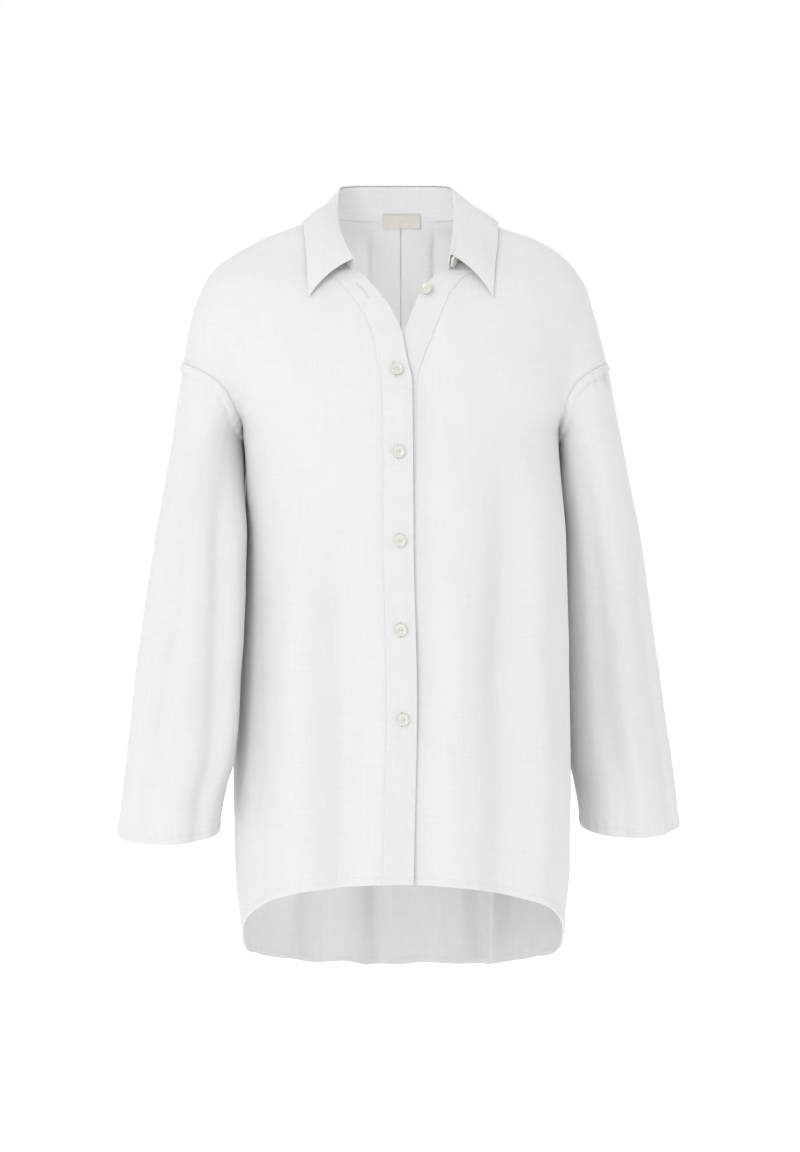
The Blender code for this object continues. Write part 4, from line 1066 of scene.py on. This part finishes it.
shell = Finish("shell_button", Roughness=0.22, Coat_Weight=0.6, Coat_Roughness=0.08)
where = shell.node("ShaderNodeTexCoord", output="Object")
cloud = shell.node("ShaderNodeTexNoise", {},
                   {"Vector": where, "Scale": 240.0, "Detail": 3.0, "Distortion": 1.2})
layer = shell.node("ShaderNodeTexWave", {"bands_direction": "DIAGONAL"},
                   {"Vector": where, "Scale": 210.0, "Distortion": 5.0, "Detail": 2.0})
tint = shell.mix(cloud, SHELL_GREEN, SHELL_PINK)
shell.shows("Base Color", shell.mix(layer * 0.5, tint, SHELL_PALE))
shell.shows("Roughness", 0.16 + cloud * 0.18)


def lathe(name, centres, outline, sides):
    """Turned solids about some centres: rings of radius and height, closed at both ends."""
    form = bmesh.new()
    for x, y in centres:
        rings = [[form.verts.new((x + radius * math.cos(a), y + radius * math.sin(a), height))
                  for a in np.linspace(0, 2 * math.pi, sides + 1)[:-1]]
                 for radius, height in outline]
        for low, high in zip(rings, rings[1:]):
            for step in range(sides):
                after = (step + 1) % sides
                form.faces.new((low[step], low[after], high[after], high[step]))
        form.faces.new(rings[0][::-1])
        form.faces.new(rings[-1])
    mesh = bpy.data.meshes.new(name)
    form.to_mesh(mesh)
    form.free()
    return mesh


def button_form():
    """One button with its four holes bored through."""
    outline = [(out * BUTTON_RADIUS, up * BUTTON_HEIGHT) for out, up in BUTTON_PROFILE]
    solid = put("button_solid", lathe("button_disc", ((0, 0),), outline, BUTTON_SIDES))
    turns = [math.pi / 4 + step * math.pi / 2 for step in range(4)]
    centres = [(HOLE_OFF * math.cos(turn), HOLE_OFF * math.sin(turn)) for turn in turns]
    bore = ((HOLE_RADIUS, HOLE_LOW_Z), (HOLE_RADIUS, HOLE_TOP_Z))
    cutter = put("button_cutter", lathe("button_bit", centres, bore, HOLE_SIDES))
    cut = solid.modifiers.new("holes", "BOOLEAN")
    cut.operation = "DIFFERENCE"
    cut.solver = "EXACT"
    cut.object = cutter
    seen = solid.evaluated_get(bpy.context.evaluated_depsgraph_get())
    mesh = bpy.data.meshes.new_from_object(seen)
    for made in (solid, cutter):
        bpy.data.objects.remove(made, do_unlink=True)
    mesh.shade_smooth()
    mesh.set_sharp_from_angle(angle=math.radians(40))
    mesh.materials.clear()
    mesh.materials.append(shell.material)
    return mesh


BUTTON_PLACES = ((-0.0040, -0.1536), (-0.0020, -0.2356), (-0.0010, -0.3234), (0.0000, -0.4113),
                 (0.0020, -0.4992))
OPEN_Z, OPEN_IN = -0.0735, 0.0085              # the open button of the under band
# Buttons that hang a little loose: off the cloth, toward the right, and how they lean.
LOOSE = {0: (0.0004, 0.0, (0.10, 0, 0.16)), 5: (0.0022, 0.0030, (-0.62, 0, 0.10))}
STAND_SEAT = (7, -3)                           # the stand's own button, on the grid of its face
STAND_OFF, BUTTON_OFF = 0.0013, 0.0006
THREAD_RADIUS, THREAD_APART = 0.00026, 0.0009
SHANK_HALF, SHANK_STRANDS = 0.0008, 5


def button_seats():
    """Point and direction of each button on a band: five fastened, and one open."""
    places = [("placket_right", x, z) for x, z in BUTTON_PLACES]
    places.append(("placket_left", EDGES.read("left", OPEN_Z) + OPEN_IN, OPEN_Z))
    seats = []
    for name, x, z in places:
        face, normals = GRIDS[name]
        far = np.hypot(face[..., 0] - x, face[..., 2] - z)
        row, column = np.unravel_index(np.argmin(far), far.shape)
        point = face[row, column] + (x - face[row, column, 0], 0, z - face[row, column, 2])
        seats.append((point, normals[row, column]))
    for number, (off, aside, lean) in LOOSE.items():
        point, normal = seats[number]
        seats[number] = (point + normal * off - (aside, 0, 0), normal + lean)
    return [(point, normal / np.linalg.norm(normal)) for point, normal in seats]


def thread_through(number):
    """White thread: two short bars over the button and its shank beneath."""
    curve = bpy.data.curves.new("button_thread_%d" % number, "CURVE")
    curve.dimensions = "3D"
    curve.bevel_depth = THREAD_RADIUS
    curve.bevel_resolution = 2
    hole = HOLE_OFF * 0.7071                   # across and up to a hole on its diagonal
    for offset in (-1, 1):
        for strand in (-0.3, 0.3):
            bar = curve.splines.new("BEZIER")
            bar.bezier_points.add(2)
            y = hole * offset + strand * THREAD_APART
            for point, (x, height) in zip(bar.bezier_points, ((-1, 0.45), (0, 0.98), (1, 0.45))):
                point.co = (x * hole, y, height * BUTTON_HEIGHT)
                point.handle_left_type = point.handle_right_type = "AUTO"
    shank = curve.splines.new("POLY")
    shank.points.add(1)
    for point, height in zip(shank.points, (-SHANK_HALF, SHANK_HALF)):
        point.co = (0, 0, height, 1)
        point.radius = SHANK_STRANDS
    curve.materials.append(thread.material)
    return curve


thread = Finish("white_thread", Base_Color=(0.83, 0.835, 0.845, 1.0), Roughness=0.7,
                Sheen_Weight=0.1)
button_shape = button_form()
seats = button_seats()
low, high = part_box("button_7")
seventh = (low + high) / 2
stand_face, end_normal = (grid[STAND_SEAT] for grid in GRIDS["collar_stand"])
outward = (seventh - Vector(stand_face)).dot(Vector(end_normal)) > 0
toward = end_normal if outward else -end_normal
seats.append((np.array(seventh) - toward * STAND_OFF, toward))
for number, (point, normal) in enumerate(seats, start=1):
    piece = put("button_%d_shell" % number, button_shape)
    sewing = put("button_%d_thread" % number, thread_through(number))
    for made in (piece, sewing):
        made.rotation_mode = "QUATERNION"
        made.rotation_quaternion = Vector(normal).to_track_quat("Z", "Y")
        made.location = Vector(point + normal * BUTTON_OFF)
        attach(made, "root")
    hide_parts("button_%d" % number)

# -------------------------------------------------------------------------------------------------
# The sewing. White thread in short raised stitches: two rows down each band, one round the hems and
# cuffs, two round the felled armholes, and the rows that edge the collar's leaf and stand.

STITCH_STEP, STITCH_LENGTH = 0.0030, 0.0023
STITCH_WIDE, STITCH_HIGH = 0.00024, 0.00022
STITCH_SUNK, STITCH_DEEP = 0.0001, 0.0002      # how far its ends and its middle lie in the cloth
BAND_STITCHES = (0.0019, 0.0281)
HEM_STITCHES_Z = -0.7243
ARMHOLE_STITCHES = (0.0014, 0.0083)
CUFF_STITCHES = 0.0068
LEAF_STITCHES, LEAF_MIDDLE = 0.0055, 40
STAND_STITCHES = (4.0, 13.2)                   # rows of the stand's grid


def line_on(name, rows, columns, lift=0.0):
    """Points and directions on a piece's face, at fractional rows and columns of its grid."""
    rows, columns = np.broadcast_arrays(np.asarray(rows, float), np.asarray(columns, float))
    face, normals = (between(grid, rows, columns) for grid in GRIDS[name])
    return face + normals * lift, normals


def sew(name, lines, step=STITCH_STEP, length=STITCH_LENGTH, wide=STITCH_WIDE, high=STITCH_HIGH):
    """One object of all the stitches along some lines of cloth."""
    points, faces = [], []
    for path, square in lines:
        along = lengths(path)
        starts = np.arange(step * 0.2, along[-1] - length, step)
        begins, stops = (read_line(starts + more, along, path) for more in (0, length))
        ups = read_line(starts + 0.5 * length, along, square)
        asides = np.cross(stops - begins, ups)
        asides /= np.maximum(np.linalg.norm(asides, axis=1, keepdims=True), 1e-9)
        for begin, stop, up, aside in zip(begins, stops, ups, asides):
            first = len(points)
            points.append(begin - up * STITCH_SUNK)
            for share in (0.25, 0.75):
                middle = begin + (stop - begin) * share
                points += [middle + aside * wide, middle + up * high,
                           middle - aside * wide, middle - up * STITCH_DEEP]
            points.append(stop - up * STITCH_SUNK)
            for side in range(4):
                after = (side + 1) % 4
                faces.append((first, first + 1 + side, first + 1 + after))
                faces.append((first + 1 + side, first + 5 + side, first + 5 + after,
                              first + 1 + after))
                faces.append((first + 5 + side, first + 9, first + 5 + after))
    mesh = bpy.data.meshes.new(name)
    mesh.from_pydata(np.array(points).tolist(), [], faces)
    mesh.shade_smooth()
    mesh.materials.append(thread.material)
    piece = put(name, mesh)
    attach(piece, "root")


band_lines, hem_lines, armhole_lines, collar_lines = [], [], [], []
hem_row = np.interp(-HEM_STITCHES_Z, -LEVELS, np.arange(len(LEVELS)))
ring = np.arange(SLEEVE_SIDES + 1) % SLEEVE_SIDES
for side in (RIGHT, LEFT):
    band, front = "placket_" + WORD[side], "front_" + WORD[side]
    for distance in BAND_STITCHES:
        column = np.interp(distance, BAND_STATIONS, np.arange(len(BAND_STATIONS)))
        band_lines.append(line_on(band, np.linspace(0, len(GRIDS[band][0]) - 1, 260), column))
    wide = GRIDS[front][0].shape[1]
    hem_lines.append(line_on(front, hem_row, np.linspace(len(BAND_STATIONS) - 1, wide - 1, 160)))
    face, normals = GRIDS["sleeve_" + WORD[side]]
    for distance in ARMHOLE_STITCHES:
        row = np.interp(distance / SLEEVE_LENGTH, SLEEVE_DOWNS, np.arange(len(SLEEVE_DOWNS)))
        low, part = int(row), row - int(row)
        level = face[low] * (1 - part) + face[low + 1] * part
        armhole_lines.append((level[ring], normals[low][ring]))
    row = int(np.argmin(np.abs(SLEEVE_DOWNS - (1 - CUFF_STITCHES / SLEEVE_LENGTH))))
    hem_lines.append((face[row][ring], normals[row][ring]))
for name in ("back", "back_inside"):
    hem_lines.append(line_on(name, hem_row, np.linspace(0, GRIDS[name][0].shape[1] - 1, 400)))

face, _ = GRIDS["collar_leaf"]
fall = lengths(face[:, LEAF_MIDDLE])
inset = np.interp(fall[-1] - LEAF_STITCHES, fall, np.arange(len(fall)))
wide = face.shape[1] - 1
ends = LEAF_STITCHES / np.linalg.norm(face[-1, 1] - face[-1, 0])
collar_lines.append(line_on("collar_leaf", inset, np.linspace(ends, wide - ends, 300)))
for column in (ends, wide - ends):
    collar_lines.append(line_on("collar_leaf", np.linspace(3, inset, 40), column))
wide = GRIDS["collar_stand"][0].shape[1]
for height in STAND_STITCHES:
    collar_lines.append(line_on("collar_stand", height, np.linspace(0.6, wide - 1.6, 300)))
sew("band_stitches", band_lines)
sew("hem_stitches", hem_lines)
sew("armhole_stitches", armhole_lines)
sew("collar_stitches", collar_lines)

# Worked buttonholes, upright on the right band and level on the stand's right end: two close rows
# of thread, with a bar at each end of the upright ones.
TOP_HOLE_Z, HOLE_REACH = -0.0745, 0.0078
HOLE_COLUMN, HOLE_SPREAD, HOLE_BAR = 5, 0.13, 0.2    # columns of the band's grid
HOLE_LIFT = 0.0002
face, _ = GRIDS["placket_right"]
hole_lines = []
for z in [TOP_HOLE_Z] + [place[1] for place in BUTTON_PLACES]:
    reach = z + np.linspace(HOLE_REACH, -HOLE_REACH, 12)
    rows = np.interp(-reach, -face[:, HOLE_COLUMN, 2], np.arange(len(face)))
    for offset in (-HOLE_SPREAD, HOLE_SPREAD):
        hole_lines.append(line_on("placket_right", rows, HOLE_COLUMN + offset, HOLE_LIFT))
    bar = np.linspace(HOLE_COLUMN - HOLE_BAR, HOLE_COLUMN + HOLE_BAR, 6)
    for row in (rows[0], rows[-1]):
        hole_lines.append(line_on("placket_right", row, bar, HOLE_LIFT))
for height in (6.2, 7.0):
    hole_lines.append(line_on("collar_stand", height, np.linspace(2.2, 7.0, 12), HOLE_LIFT))
sew("buttonhole_stitches", hole_lines, step=0.00062, length=0.00060, wide=0.00045, high=0.00030)

# -------------------------------------------------------------------------------------------------
# The studio: a plain pale floor well below the blouse, white light from all round, two soft lamps,
# and two small ones inside, for the light that comes through thin white cloth. The camera is the
# photograph's.

FLOOR_Z, FLOOR_HALF = -1.6, 40
SENSOR, CAMERA_FAR, CAMERA_X, CAMERA_Z = 36.0, 3.5, -0.001, -0.358
PICTURE_TALL, PICTURE_SCALE = 1152, 0.00102    # points, and metres to each at the blouse

plaster = Finish("studio_floor", Base_Color=(0.9, 0.9, 0.9, 1.0), Roughness=1.0,
                 Emission_Color=(1.0, 1.0, 1.0, 1.0), Emission_Strength=0.30)
floor_mesh = bpy.data.meshes.new("studio_floor")
floor_mesh.from_pydata([(x * FLOOR_HALF, y * FLOOR_HALF, FLOOR_Z)
                        for x, y in ((-1, -1), (1, -1), (1, 1), (-1, 1))], [], [(0, 1, 2, 3)])
floor_mesh.materials.append(plaster.material)
floor = put("studio_floor", floor_mesh)

world = bpy.data.worlds.new("studio")
world.use_nodes = True
around = world.node_tree.nodes["Background"].inputs
around["Color"].default_value = (1, 1, 1, 1)
around["Strength"].default_value = 1.0
bpy.context.scene.world = world


def soft_light(name, place, aim, size, power, seen=True):
    light = bpy.data.lights.new(name, "AREA")
    light.shape = "RECTANGLE"
    light.size, light.size_y = size
    light.energy = power
    lamp = put(name, light)
    lamp.location = place
    lamp.rotation_mode = "QUATERNION"
    lamp.rotation_quaternion = (Vector(aim) - Vector(place)).to_track_quat("-Z", "Y")
    lamp.visible_camera = seen


soft_light("key", (-1.5, -2.85, 0.9), (0, 0, -0.3), (1.0, 1.0), 27)
soft_light("rear", (0.5, 3.2, 1.0), (0, 0, -0.3), (1.0, 1.0), 20)
soft_light("inside", (-0.018, -0.03, -0.13), (-0.015, 0.10, -0.06), (0.10, 0.12), 0.155,
           seen=False)
soft_light("inside_low", (-0.11, 0.01, -0.60), (-0.03, 0.14, -0.74), (0.06, 0.06), 0.085,
           seen=False)

camera = bpy.data.cameras.new("photo_camera")
camera.sensor_fit = "AUTO"
camera.sensor_width = SENSOR
camera.lens = SENSOR * CAMERA_FAR / (PICTURE_TALL * PICTURE_SCALE)
eye = put("photo_camera", camera)
eye.location = (CAMERA_X, -CAMERA_FAR, CAMERA_Z)
eye.rotation_euler = (math.radians(90), 0, 0)
bpy.context.scene.camera = eye
bpy.context.scene.view_settings.view_transform = "Standard"

bpy.context.view_layer.update()
